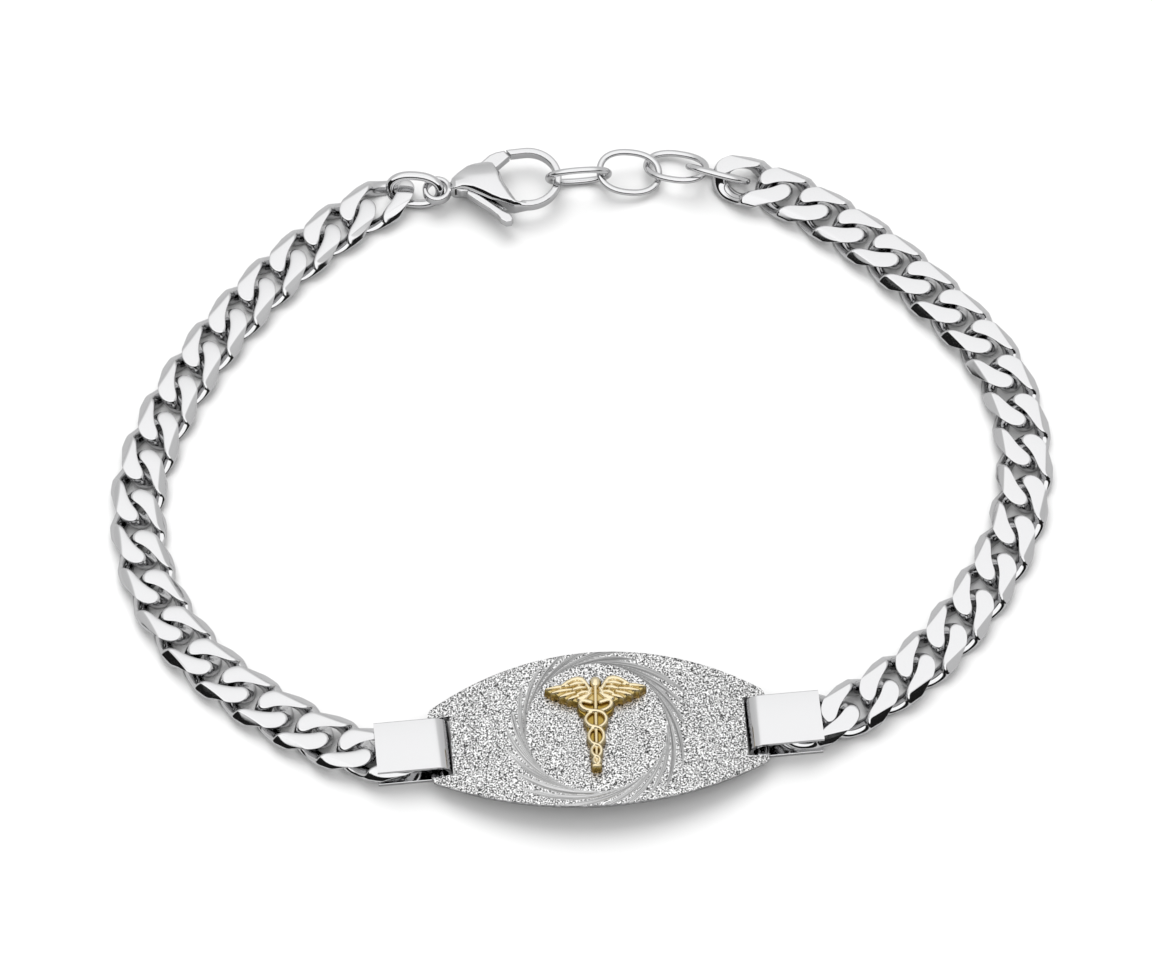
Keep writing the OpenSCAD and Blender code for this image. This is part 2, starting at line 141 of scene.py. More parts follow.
def steel_finish():
    """A near mirror with a fine haze in its roughness, a faint swell, and painted shade in the recesses."""
    material, tree, shader = new_material("polished_stainless_steel", {"Metallic": 1, "Roughness": 0.07})
    place = add_node(tree, "TexCoord", out="Object")
    haze = {"Vector": place, "Scale": 1 / (HAZE_MM * MM), "Detail": 3}
    haze = add_node(tree, "TexNoise", haze)
    shine = add_node(tree, "MapRange", (haze, 0, 1, 0.05, 0.1))
    # the share of the surroundings that is open nearby; where little is open, the colour is painted darker
    # as shade
    openness = add_node(tree, "AmbientOcclusion", {"Distance": PAINTED_SHADE_MM * MM}, out="AO", samples=8)
    painted_recess_shade = add_node(tree, "MapRange", (openness, 0.08, 0.2))
    # the dark grey that the colour turns to in the recesses is painted shade
    tones = {0: painted_recess_shade, 6: linear("#3C3C3E"), 7: linear("#CFCFD0")}
    shaded_steel_tone = add_node(tree, "Mix", tones, out=2, data_type="RGBA")
    swell = {"Vector": place, "Scale": 1 / (SWELL_MM * MM), "Detail": 1}
    swell = add_node(tree, "TexNoise", swell)
    bump = add_node(tree, "Bump", {"Height": swell, "Strength": 0.1, "Distance": 0.02 * MM})
    set_inputs(shader, {"Base Color": shaded_steel_tone, "Roughness": shine, "Normal": bump})
    return material


steel = steel_finish()
print("made", steel.name)

# %% [markdown]
# Every new surface is worked out in millimetres as whole numpy arrays and goes into a mesh in metres. Its
# faces are the quads between the neighbours of a grid. A closed tube is a grid that wraps both ways, so
# its first row and column come again after the last.

# %% meshes from arrays


def make_piece(
    name, points, faces, finish, nodes, body="bracelet", crease=30, turn=False
):
    """A piece from points in mm, smooth but for edges sharper than crease degrees, on its CAD nodes.

    Where turn is set, Blender first turns all faces outwards.
    """
    mesh = bpy.data.meshes.new(name)
    mesh.from_pydata((points * MM).tolist(), [], faces)
    if turn:
        work = bmesh.new()
        work.from_mesh(mesh)
        bmesh.ops.recalc_face_normals(work, faces=work.faces)
        work.to_mesh(mesh)
        work.free()
    mesh.shade_smooth()
    mesh.set_sharp_from_angle(angle=math.radians(crease))
    mesh.materials.append(finish)
    piece = add_object(name, mesh)
    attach(piece, body)
    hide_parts(*nodes)
    return piece


def grid_faces(shape, wrap=(0, 0)):
    """Quads between a grid's points; where it wraps, its first row or column follows the last."""
    index = np.pad(np.arange(math.prod(shape)).reshape(shape), [(0, w) for w in wrap], "wrap")
    return np.stack([index[:-1, :-1], index[1:, :-1], index[1:, 1:], index[:-1, 1:]], -1).reshape(-1, 4)


def rows_of(x, y, z):
    """Three arrays or numbers that fit one shape, as one list of points."""
    return np.stack(np.broadcast_arrays(x, y, z), -1).reshape(-1, 3)


print("faces of a closed grid of 3 x 4 points:", len(grid_faces((3, 4), (1, 1))))

# %% [markdown]
# Most of the bracelet is wire. A wire is a circle carried along a closed line of points that lie an equal
# length apart. Its ovals are superellipses: a roundness of 2 gives an ellipse, and more is fuller.

# %% round wire


def tube_points(centres, wire_d, across):
    """A circle of the wire's size at each centre, square to the run of the centres."""
    along = np.roll(centres, -1, 0) - np.roll(centres, 1, 0)
    along /= np.linalg.norm(along, axis=1)[:, None]
    side = np.cross([[0, 0, 1]], along)
    side /= np.linalg.norm(side, axis=1)[:, None]
    up = np.cross(along, side)
    turn = np.linspace(0, 2 * np.pi, across, endpoint=False)[None, :, None]
    ring = np.cos(turn) * side[:, None] + np.sin(turn) * up[:, None]
    return (centres[:, None] + wire_d / 2 * ring).reshape(-1, 3)


def even_spacing(curve, count):
    """The same closed curve at count points an equal length apart, by interpolation along its run."""
    curve = np.vstack([curve, curve[:1]])
    run = np.r_[0, np.cumsum(np.linalg.norm(np.diff(curve, axis=0), axis=1))]
    wanted = np.linspace(0, run[-1], count, endpoint=False)
    return np.stack([np.interp(wanted, run, curve[:, k]) for k in range(3)], 1)


def superellipse(half_l, half_w, roundness, steps=4000):
    """x = a cos(t)^(2/n), y = b sin(t)^(2/n), with the signs of the cosine and the sine kept."""
    turn = np.linspace(0, 2 * np.pi, steps, endpoint=False)
    c, s = np.cos(turn), np.sin(turn)
    power = 2 / roundness
    x = half_l * np.sign(c) * np.abs(c) ** power
    y = half_w * np.sign(s) * np.abs(s) ** power
    return x, y


print("points on an oval:", even_spacing(rows_of(*superellipse(2, 1, 2), 0), 8).shape)

# %% [markdown]
# A CAD node's place is in its mesh. A link or a ring looks the same after half a turn about any of its
# three axes, so its middle is the mean of its corners, and its axes are the directions in which the
# corners spread most, less and least. That is enough to set a finer link exactly where the CAD one is.

# %% where a link lies


def link_place(node):
    """Middle in mm and the three axes, longest first, from the spread of the node's corners."""
    corners = np.array([v.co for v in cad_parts[node].data.vertices]) / MM
    corners = np.unique(corners.round(4), axis=0)
    middle = corners.mean(0)
    axes = np.linalg.eigh(np.cov((corners - middle).T))[1][:, ::-1]
    axes[:, 2] = np.cross(axes[:, 0], axes[:, 1])
    return middle, axes


print("jump ring at", link_place("jump_ring")[0].round(2), "mm")

# %% [markdown]
# A curb link is a wire loop whose two ends are twisted opposite ways, so that each link lies flat on the
# next. After linking, the whole chain is filed: two flat faces, two flat sides and a bevel between them.
# Boolean cuts would leave edges that are sharper than any filed and tumbled chain has. So each stroke of
# the file is a soft push instead: points that stand out beyond its plane are pushed back to it, and
# points close to it are eased over, which rounds the edge and gives it its thin line of light. The left
# side of the chain is worn rounder than the right, so its edges, faces and bevels have their own numbers.

# %% the curb link
LOOP_L, LOOP_W, WIRE_D, LOOP_ROUNDNESS = 5.6, 3.6, 1.4, 2.4
TWIST, TWIST_GROWTH = 52, 0.7
CHAIN_T, CHAIN_W = 1.64, 4.68
# how much of the corner between face and side the bevels take
BEVEL = {"left": 0.8, "right": 0.65}
# width over which a filed edge is eased, and the share of the wire's bulge that the file leaves
EDGE = {"left": 0.15, "right": 0.05}
CROWN = {"left": 0.1, "right": 0.02}
LINK_AROUND, LINK_ACROSS = 144, 56


def twisted_loop(count):
    """A superellipse whose points lean round X by TWIST times (share of the way to the end)^0.7."""
    x, y = superellipse(LOOP_L / 2, LOOP_W / 2, LOOP_ROUNDNESS)
    lean = -np.radians(TWIST) * np.sign(x) * np.abs(2 * x / LOOP_L) ** TWIST_GROWTH
    loop = even_spacing(rows_of(x, y * np.cos(lean), y * np.sin(lean)), count)
    for _ in range(3):
        loop = (np.roll(loop, 1, 0) + 2 * loop + np.roll(loop, -1, 0)) / 4
    return loop


def file_off(points, normal, reach, edge, crown):
    """Takes back the excess e over a plane: none below -k, (e + k)^2 / 4k near it, nearly all beyond k."""
    normal = np.array(normal) / np.linalg.norm(normal)
    excess = points @ normal - reach
    eased = np.clip(excess + edge, 0, 2 * edge) ** 2 / (4 * edge)
    back = eased + np.clip(excess - edge, 0, None) * (1 - crown)
    return points - back[:, None] * normal


def filed_link(edge, crown, bevel_cut):
    """The round tube on the twisted loop, filed on its faces, its bevels and its sides."""
    points = tube_points(twisted_loop(LINK_AROUND), WIRE_D, LINK_ACROSS)
    face, side = CHAIN_T / 2, CHAIN_W / 2
    bevel = (side + face - bevel_cut) / math.sqrt(2)
    # the file goes deeper by the bulge that it leaves, so the link is as thick as the CAD one
    highest = points[:, 2].max() - face
    face_reach = face - crown * (highest - edge) / (1 - crown)
    for sign in (1, -1):
        points = file_off(points, (0, 0, sign), face_reach, edge, crown)
    for normal in ((0, 1, 1), (0, 1, -1), (0, -1, 1), (0, -1, -1)):
        points = file_off(points, normal, bevel, edge, crown)
    for sign in (1, -1):
        points = file_off(points, (0, sign, 0), side, edge, crown)
    return points


link_points = {side: filed_link(EDGE[side], CROWN[side], BEVEL[side]) for side in SIDES}
link_faces = grid_faces((LINK_AROUND, LINK_ACROSS), (1, 1)).tolist()
print("half size of a curb link:", link_points["right"].max(0).round(2), "mm")

# %% [markdown]
# The links of one side are all alike, so one link's points serve all of them. Each is turned to its CAD
# node's axes and moved to its middle.

# %% the curb chain


def place_link(side, number):
    """The filed link on its CAD node."""
    node = f"curb_link_{side}_{number}"
    middle, axes = link_place(node)
    points = middle + link_points[side] @ axes.T
    return make_piece(node + "_filed", points, link_faces, steel, [node], crease=180)


chain = [place_link(side, i + 1) for side in SIDES for i in range(LINKS_A_SIDE)]
print("curb links:", len(chain))

# %% [markdown]
# The extender links and the jump ring are plain round wire, bent into ovals and soldered. A superellipse
# of roundness 2.3 is a little fuller than an ellipse, as wire bent on a flat mandrel is.

# %% extender links and jump ring
# outer length, outer width and wire
EXTENDER, JUMP_RING = (5.66, 4.0, 0.56), (5.0, 3.44, 0.76)
OVAL_ROUNDNESS, RING_AROUND, RING_ACROSS = 2.3, 160, 28


def oval_ring(node, length, width, wire_d):
    """A round wire on a superellipse of the ring's middle line, set on the node's own axes."""
    x, y = superellipse((length - wire_d) / 2, (width - wire_d) / 2, OVAL_ROUNDNESS)
    line = even_spacing(rows_of(x, y, 0), RING_AROUND)
    middle, axes = link_place(node)
    points = middle + tube_points(line, wire_d, RING_ACROSS) @ axes.T
    faces = grid_faces((RING_AROUND, RING_ACROSS), (1, 1)).tolist()
    return make_piece(node + "_wire", points, faces, steel, [node])


rings = [oval_ring(f"extender_link_{i}", *EXTENDER) for i in (1, 2, 3, 4)]
rings.append(oval_ring("jump_ring", *JUMP_RING))
print("rings:", [r.name for r in rings])

# %% [markdown]
# The plate's frame has X along the plate, Y across it and Z up. The plate was pressed over a round former,
# so its top is part of a cylinder 63.4 mm in radius whose axis runs across it.

# %% the plate's frame
PLATE_AT = np.array([1.302, -24.283, 0])
PLATE_TURN = math.radians(4.133)
ARCH_R, ARCH_Z = 63.425, -60.389
PLATE_TOP = ARCH_Z + ARCH_R


def turned(points, angle, middle):
    """Points turned about Z by an angle and moved to a middle."""
    c, s = math.cos(angle), math.sin(angle)
    spin = np.array([[c, s, 0], [-s, c, 0], [0, 0, 1]])
    return np.asarray(points, float) @ spin + middle


def on_plate(points):
    """Points of the plate's own frame, in the bracelet's frame."""
    return turned(points, PLATE_TURN, PLATE_AT)


def circle(radius, across):
    """Height of a circle's rim over its middle at a distance across from it: sqrt(r^2 - t^2)."""
    return np.sqrt(np.clip(radius**2 - across**2, 0, None))


def arch_height(x):
    """The plate's top at a distance x from its middle: the height of the former's circle there."""
    return ARCH_Z + circle(ARCH_R, x)


print("crown of the plate at", round(PLATE_TOP, 3), "mm")

# %% [markdown]
# A strap loop is a strip of steel, folded round the bar at the plate's end. Its two legs run out over and
# under the last link, and a post in its mouth holds that link. The strip's middle line is a half circle
# with a straight leg at each end, and a rectangle with rounded corners is carried along it.

# %% the folded strip
STRAP_H, STRAP_T, STRAP_W, STRAP_LEG = 2.6, 0.35, 4.4, 4.65
STRAP_CORNER, CORNER_STEPS = 0.09, 7
# how far outside the bar the bend's middle is
BEND_OFFSET = 0.1
# points along a leg, the power that crowds them towards the bend, and points round the bend
LEG_STEPS, LEG_CROWDING, BEND_STEPS = 24, 1.3, 49


def strip_line():
    """Middle line in X and Z: the lower leg inwards, the half circle, then the upper leg outwards."""
    r = (STRAP_H - STRAP_T) / 2
    legs = np.linspace(1, 0, LEG_STEPS) ** LEG_CROWDING * STRAP_LEG
    bend = np.radians(np.linspace(-90, -270, BEND_STEPS))
    x = np.r_[legs, r * np.cos(bend)[1:-1], legs[::-1]]
    z = np.r_[-r + 0 * legs, r * np.sin(bend)[1:-1], r + 0 * legs]
    return x, z


def strip_section():
    """A rectangle of the strip's width and thickness whose four corners are quarter circles."""
    turn = np.radians(np.linspace(0, 90, CORNER_STEPS))
    v = STRAP_W / 2 - STRAP_CORNER + STRAP_CORNER * np.cos(turn)
    n = STRAP_T / 2 - STRAP_CORNER + STRAP_CORNER * np.sin(turn)
    return np.r_[v, -v[::-1], -v, v[::-1]], np.r_[n, n[::-1], -n, -n[::-1]]


def folded_strip():
    """The strip's section set square to its line at each of its points, and that grid's shape."""
    x, z = strip_line()
    tx, tz = np.gradient(x), np.gradient(z)
    size = np.hypot(tx, tz)
    tx, tz = tx / size, tz / size
    across, out = strip_section()
    along, up = x[:, None] - tz[:, None] * out, z[:, None] + tx[:, None] * out
    return rows_of(along + BEND_OFFSET, across, up + STRAP_H / 2), up.shape


print("points along and round the strip:", folded_strip()[1])

# %% [markdown]
# Each loop lies in its own way, swung a little round its bar, and the left one has slid along it. The post
# is a short round pin between the legs. Strip and post are both tubes whose two ends are closed by one
# face each, so they make one mesh, and Blender turns their faces outwards.

# %% strap loops
# where the bar is, and how many degrees the loops have swung
BAR_X, STRAP_SWING = 13.025, 1.5
# the left loop has slid along its bar
STRAP_SLIDE = {"left": -0.15, "right": 0}
# where each post's outer side stands, and its heading in degrees
POSTS = {"left": (-16.130, -25.871, -3.992), "right": (18.747, -22.776, 14.736)}
# its radius, how far it stands back from there, and how deep its ends are sunk in the legs
POST_R, POST_BACK, POST_SUNK, POST_STEPS = 0.4, 1.25, 0.17, 32


def strap_post(side, sign):
    """Corners of a round post between the strip's legs: two circles, the lower one first."""
    px, py, heading = POSTS[side]
    turn = np.linspace(0, 2 * np.pi, POST_STEPS, endpoint=False)
    ring = rows_of(POST_R * np.cos(turn), POST_R * np.sin(turn), 0)
    post = np.vstack([ring + [0, 0, POST_SUNK], ring + [0, 0, STRAP_H - POST_SUNK]])
    return turned(post - [sign * POST_BACK, 0, 0], math.radians(heading), [px, py, 0])


def capped_faces(rows, columns, first=0):
    """Faces of a tube whose rows are closed rings, with a face of its own over each end."""
    ends = [list(range(columns)), list(range(rows * columns - 1, (rows - 1) * columns - 1, -1))]
    faces = grid_faces((rows, columns), (0, 1)).tolist() + ends
    return [[first + k for k in face] for face in faces]


def strap_piece(side):
    """One strap loop and its post as a single mesh."""
    sign = 1 if side == "right" else -1
    strip, shape = folded_strip()
    swing = math.radians(STRAP_SWING + (0 if sign > 0 else 180))
    strip = on_plate(turned(strip, swing, [sign * BAR_X, STRAP_SLIDE[side], 0]))
    points = np.vstack([strip, strap_post(side, sign)])
    faces = capped_faces(*shape) + capped_faces(2, POST_STEPS, len(strip))
    node = f"strap_loop_{side}"
    return make_piece(node + "_strip", points, faces, steel, [node], crease=35, turn=True)


straps = [strap_piece(side) for side in SIDES]
print("straps:", [s.name for s in straps])

# %% [markdown]
# The plate is blasted with coarse grit, which leaves a random stipple of grains about 0.2 mm across, some
# white and some dark. Then a ring of bright cuts is engraved round the emblem. Each cut starts on a circle
# and leaves it along an arc of a larger circle, so the cuts look like the blades of a pinwheel. Where a
# point lies in this pattern is worked out once, in numpy, for the plate's shape and for its finish.

# %% the engraved cuts
RING_IN, ARC_R, RING_AT = 5.6, 9.2, (-0.17, 0.1)
CUTS, CUT_DEPTH = 20, 0.07
# the cuts get narrower from FULL_R on and end between the two other radii
FULL_R, SHORT_CUT, LONG_CUT = 6.05, 6.8, 8.1
# half a cut's share of its place in the ring, how much less it is at the left and the right, and how
# fast the margin grows from the inner circle, in shares per mm
HALF_CUT, CUT_SWING, CUT_START = 0.46, 0.08, 3
CUT_END = SHORT_CUT + (LONG_CUT - SHORT_CUT) * np.random.default_rng(7).random(CUTS)


def cut_pattern(x, y):
    """Start angle, radius, margin and side of the cut through each point.

    With R the arc's radius, c the circle's and d = R - c, the arc that touches the circle at an angle a
    passes through radius r at a - arccos((R^2 - r^2 - d^2) / 2rd). The margin is positive inside a cut,
    and the side runs from -0.5 at one edge of a full cut to 0.5 at the other.
    """
    dx, dy = x - RING_AT[0], y - RING_AT[1]
    r = np.hypot(dx, dy)
    d = ARC_R - RING_IN
    share = (ARC_R**2 - r**2 - d**2) / (2 * np.maximum(r, 0.1) * d)
    start = np.arctan2(dy, dx) + np.arccos(np.clip(share, -1, 1))
    turns = (start / (2 * np.pi)) % 1 * CUTS
    side = turns % 1 - 0.5
    end = CUT_END[turns.astype(int) % CUTS]
    taper = np.clip((r - FULL_R) / (end - FULL_R), 0, None)
    margin = (HALF_CUT - CUT_SWING * np.cos(2 * start)) * (1 - taper) - np.abs(side)
    return start, r, np.minimum(margin, (r - RING_IN) * CUT_START), side


print("cuts end between", CUT_END.min().round(2), "and", CUT_END.max().round(2), "mm")

# %% [markdown]
# The plate's outline is two long arcs with rounded corners. The grid's rows follow the outline at the
# edge and run straight past the strap loops, so that each end's notch is just faces left out, with grid
# lines for its walls. A lower bar, a patch of its own, joins the two horns of each notch. The surface is
# the plate's top, and Solidify gives it its thickness downwards. The grid is fine enough to carry the
# engraved cuts as real grooves.

# %% the plate's grid
PLATE_L, PLATE_W, PLATE_T, EDGE_R, CORNER_R = 27.0, 13.4, 0.85, 26.8, 0.8
# the notch at each end: where it starts, where the bar starts, and how far it reaches to front and back
NOTCH_IN, BAR_IN, NOTCH_FRONT, NOTCH_BACK = 11.745, 12.55, 2.72, 2.4
# the bar lies lower than the plate's top, so the strap's edge stands free
BAR_DROP = 0.3
# share of the half width that the straight rows past the notches take, and where they get straight
INNER, STRAIGHT_FROM, STRAIGHT_OVER = 0.6, 6, 5
# past the horns' tips the straight rows close up inside this share of the half width
TIP_SHARE = 0.985
# columns up to the notch, to the bar and to the end, and rows in a margin and between the margins
COLUMNS, MARGIN_ROWS, INNER_ROWS = (118, 9, 16), 28, 81


def half_width(x):
    """Half the plate's width: the long arc, and near the end the corner's quarter circle."""
    side = PLATE_W / 2 - EDGE_R
    corner_x = PLATE_L / 2 - CORNER_R
    corner = side + circle(EDGE_R - CORNER_R, corner_x) + circle(CORNER_R, np.abs(x) - corner_x)
    tangent_x = corner_x * EDGE_R / (EDGE_R - CORNER_R)
    return np.where(np.abs(x) > tangent_x, corner, side + circle(EDGE_R, x))


def plate_grid():
    """Columns across the plate, denser at its ends, and rows that follow the notches' walls."""
    half = np.r_[np.linspace(0, NOTCH_IN, COLUMNS[0]), np.linspace(NOTCH_IN, BAR_IN, COLUMNS[1])[1:]]
    tail = BAR_IN + (PLATE_L / 2 - BAR_IN) * np.sin(np.linspace(0, np.pi / 2, COLUMNS[2]))[1:]
    half = np.r_[half, tail]
    x = np.r_[-half[:0:-1], half]
    margin = np.linspace(INNER, 1, MARGIN_ROWS)
    rows = np.r_[-margin[::-1], np.linspace(-INNER, INNER, INNER_ROWS)[1:-1], margin]
    y_edge = half_width(x)[:, None]
    blend = np.clip((np.abs(x) - STRAIGHT_FROM) / STRAIGHT_OVER, 0, 1)[:, None]
    blend = blend**2 * (3 - 2 * blend)
    notch_y = np.where(rows < 0, NOTCH_FRONT, NOTCH_BACK)[None]
    inner = np.minimum((1 - blend) * INNER * y_edge + blend * notch_y, TIP_SHARE * y_edge)
    share = np.abs(rows)[None]
    near = share / INNER * inner
    far = inner + (share - INNER) / (1 - INNER) * (y_edge - inner)
    y = np.sign(rows)[None] * np.where(share <= INNER, near, far)
    return x, rows, y


print("plate's grid:", plate_grid()[2].shape)

# %% [markdown]
# Blasted steel is rough, so it has no clear reflections, only grains that happen to face the light or not.
# Inside a cut the tool has left smooth mid-grey metal with hairlines along the stroke, and one edge of it
# carries a painted highlight. The cuts are painted lighter on one side of the ring and darker on the
# other, as painted light and shade. The finish reads where it is in the pattern from two attributes of the
# mesh.

# %% blasted and engraved steel
GRIT_MM = 0.13


def plate_finish():
    """A stipple of 0.2 mm grains, which gives way to streaked grey metal inside the cuts."""
    material, tree, shader = new_material("blasted_and_engraved_steel", {"Metallic": 1, "Roughness": 0.34})
    place = add_node(tree, "TexCoord", out="Object")
    streak = add_node(tree, "Attribute", out="Vector", attribute_name="streak")
    cut = add_node(tree, "Attribute", out="Vector", attribute_name="cut")
    margin, side, away = add_node(tree, "SeparateXYZ", (cut,)).node.outputs
    # a noise of 0.13 mm gives grains about 0.2 mm across
    grit = {"Vector": place, "Scale": 1 / (GRIT_MM * MM), "Detail": 1, "Roughness": 0.5}
    grain = add_node(tree, "TexNoise", grit)
    stipple = add_node(tree, "MapRange", (grain, 0.36, 0.66, 0.04, 0.92))
    # the attribute already counts the hairlines, so the noise is not scaled
    hair = {"Vector": streak, "Scale": 1, "Detail": 3, "Roughness": 0.65}
    hair = add_node(tree, "TexNoise", hair)
    streaks = add_node(tree, "MapRange", (hair, 0.34, 0.66, 0.1, 0.66))
    # the cuts are painted lighter on one side of the ring and darker on the other: painted light and shade
    painted_side_light = add_node(tree, "MapRange", (away, 0, 1, 1.15, 0.75))
    # a brighter line along one edge of each cut: a painted highlight
    painted_edge_highlight = add_node(tree, "MapRange", (side, 0.32, 0.46, 0, 0.5))
    grey = add_node(tree, "Math", (streaks, painted_side_light), operation="MULTIPLY")
    grey = add_node(tree, "Math", (painted_edge_highlight, painted_side_light, grey), operation="MULTIPLY_ADD")
    # the cut's edge is frayed by the hairlines
    frayed = add_node(tree, "Math", (hair, 0.5, margin), operation="MULTIPLY_ADD")
    engraved = add_node(tree, "MapRange", (frayed, 0.2, 0.3))
    value = add_node(tree, "Mix", {0: engraved, 2: stipple, 3: grey}, data_type="FLOAT")
    colour = add_node(tree, "CombineColor", (value, value, value))
    height = add_node(tree, "Mix", {0: engraved, 2: grain, 3: hair}, data_type="FLOAT")
    bump = add_node(tree, "Bump", {"Height": height, "Strength": 0.45, "Distance": 0.05 * MM})
    set_inputs(shader, {"Base Color": colour, "Normal": bump})
    return material


blasted = plate_finish()
print("made", blasted.name)

# %% [markdown]
# The real plate's rim is thinner than its middle, because its underside is eased towards the long edges.
# Solidify reads how thick each point is from a vertex group, and a fine bevel then rounds the sharp edges,
# so that they catch the light. The lower bars are two small patches that get their thickness with it.

# %% the plate's bars and thickness
# the lower bar starts inside the horns and ends short of the plate's end
BAR_LAP, BAR_INSET = 0.1, 0.05
# the underside is eased over this width in steps, to the given share of the thickness at the rim
CORE_WIDTH, CORE_LEVELS, LEVEL_REACH, RIM_SHARE = 0.45, 10, 0.056, 0.5
EDGE_BEVEL = 0.07


def end_bars(first):
    """Two flat patches, a little below the arch, that join the horns at each end of the plate."""
    across = np.linspace(-NOTCH_FRONT - BAR_LAP, NOTCH_BACK + BAR_LAP, 9)
    u, v = np.meshgrid(np.linspace(BAR_IN, PLATE_L / 2 - BAR_INSET, 4), across, indexing="ij")
    quads = grid_faces(u.shape)
    right = rows_of(u, v, arch_height(u) - BAR_DROP)
    # the left one is mirrored, which turns its faces over, so they are turned back
    return np.vstack([right, right * [-1, 1, 1]]), np.vstack([quads, quads[:, ::-1] + u.size]) + first


def give_thickness(plate, core):
    """Solidify downwards, thinner where core falls to 0, then a fine bevel along the sharp edges."""
    group = plate.vertex_groups.new(name="core")
    for level in np.linspace(0, 1, CORE_LEVELS):
        group.add(np.flatnonzero(np.abs(core - level) < LEVEL_REACH).tolist(), float(level), "REPLACE")
    wall = plate.modifiers.new("thickness", "SOLIDIFY")
    wall.vertex_group = "core"
    wall.thickness_vertex_group = RIM_SHARE
    wall.thickness = PLATE_T * MM
    wall.offset = -1
    wall.use_even_offset = True
    wall.material_offset_rim = 1
    edge = plate.modifiers.new("edge", "BEVEL")
    edge.width = EDGE_BEVEL * MM
    edge.segments = 2
    edge.limit_method = "ANGLE"
    edge.angle_limit = math.radians(60)


print("faces of the lower bars:", len(end_bars(0)[1]))

# %% [markdown]
# The two attributes go on the mesh's points. One holds the margin and the side of the cut, and how far the
# cut lies towards the side of the ring that gets the darkest painted shade. The other is the start angle
# as a point on a circle, times the number of hairlines, so it has no seam anywhere.

# %% the plate
# hairlines in a radian of the ring, how fast they change along a cut, and where the painted shade on the
# ring is darkest
HAIRS, HAIR_FLOW, DARKEST_PAINTED_SIDE = 55, 0.6, math.radians(110)
# a groove is fully deep at a margin of 1 / GROOVE_WALL, and fades out over RIM_FADE mm near the rim
GROOVE_WALL, RIM_FADE = 3, 0.4


def add_vectors(mesh, name, vectors):
    """Stores one vector for each point of the mesh under a name."""
    layer = mesh.attributes.new(name, "FLOAT_VECTOR", "POINT")
    layer.data.foreach_set("vector", np.ascontiguousarray(vectors, np.float32).ravel())


def make_plate():
    """z = the arch's height at x less the cut's depth; the faces of the end notches are left out."""
    x, rows, y = plate_grid()
    start, r, margin, side = cut_pattern(x[:, None], y)
    from_rim = half_width(x)[:, None] - np.abs(y)
    groove = CUT_DEPTH * np.clip(margin * GROOVE_WALL, 0, 1) * np.clip(from_rim / RIM_FADE - 0.5, 0, 1)
    grid = rows_of(x[:, None], y, arch_height(x[:, None]) - groove)
    notch = np.abs(x[1:] + x[:-1])[:, None] / 2 > NOTCH_IN
    notch = notch & (np.abs(rows[1:] + rows[:-1])[None] / 2 < INNER)
    used, faces = np.unique(grid_faces(y.shape)[~notch.ravel()], return_inverse=True)
    faces = faces.reshape(-1, 4)
    bars, bar_faces = end_bars(len(used))
    points = on_plate(np.vstack([grid[used], bars]))
    faces = np.vstack([faces, bar_faces])
    plate = make_piece("id_plate_blasted", points, faces.tolist(), blasted, ["id_plate"])
    # the vectors that the finish reads; the bars have none, and are plain steel like the rim
    flow = rows_of(HAIRS * np.cos(start), HAIRS * np.sin(start), HAIR_FLOW * r)
    # the third value is 1 where the cut's painted shade is darkest and 0 where its painted light is
    # brightest
    cut = rows_of(margin, side, 0.5 + 0.5 * np.cos(start - DARKEST_PAINTED_SIDE))
    for name, vectors in (("streak", flow), ("cut", cut)):
        add_vectors(plate.data, name, np.vstack([vectors[used], 0 * bars]))
    plate.data.materials.append(steel)
    finish = (np.arange(len(faces)) >= len(faces) - len(bar_faces)).astype(np.int32)
    plate.data.polygons.foreach_set("material_index", finish)
    give_thickness(plate, np.r_[np.clip(from_rim / CORE_WIDTH, 0, 1).ravel()[used], np.ones(len(bars))])
    return plate


plate = make_plate()
print("plate quads:", len(plate.data.polygons))

# %% [markdown]
# The emblem is a small gold-coloured casting, 1.3 mm proud of the plate: a winged staff with a ball on top
# and two cords wound round it. A sculptor would carve it. Here its top is a height over a fine grid: each
# feature gives a height of its own with rounded edges, and the highest one wins. A feature is either a
# flat-topped shape inside an outline, or a rounded bar along a line of points.

# %% distances for the emblem's features
RELIEF = 1.3
# the right half, in mm from the emblem's middle: the wing, the tapering body below it, and the foot
WING = [
    (0, 3.0), (0.45, 3.05), (0.64, 3.4), (0.82, 3.82), (1.05, 4.05), (1.35, 4.12), (1.8, 4.04),
    (2.2, 3.84), (2.6, 3.56), (3.0, 3.44), (3.5, 3.36), (4.02, 3.16), (4.08, 3.04), (3.8, 2.86),
    (3.5, 2.6), (3.12, 2.56), (2.86, 2.3), (2.5, 2.24), (2.24, 2.02), (1.8, 1.98), (1.5, 1.84),
]
BODY_SIDE = [(1.46, 1.4), (1.3, 1.06), (1.0, 0.82), (0.98, 0.2), (0.72, -0.42), (0.74, -1.1), (0.52, -1.9)]
FOOT = [(0.5, -2.45), (0.42, -2.9), (0.46, -3.4), (0.42, -3.74), (0.24, -3.88), (0, -3.92)]


def mirrored(half):
    """A closed outline from its right half."""
    return half + [(-u, v) for u, v in half[::-1]]


def to_segment(x, y, ax, ay, bx, by):
    """Share of the way from a to b at the segment's nearest point, and the distance to that point."""
    ex, ey = bx - ax, by - ay
    t = np.clip(((x - ax) * ex + (y - ay) * ey) / max(ex * ex + ey * ey, 1e-12), 0, 1)
    return t, np.hypot(x - ax - t * ex, y - ay - t * ey)


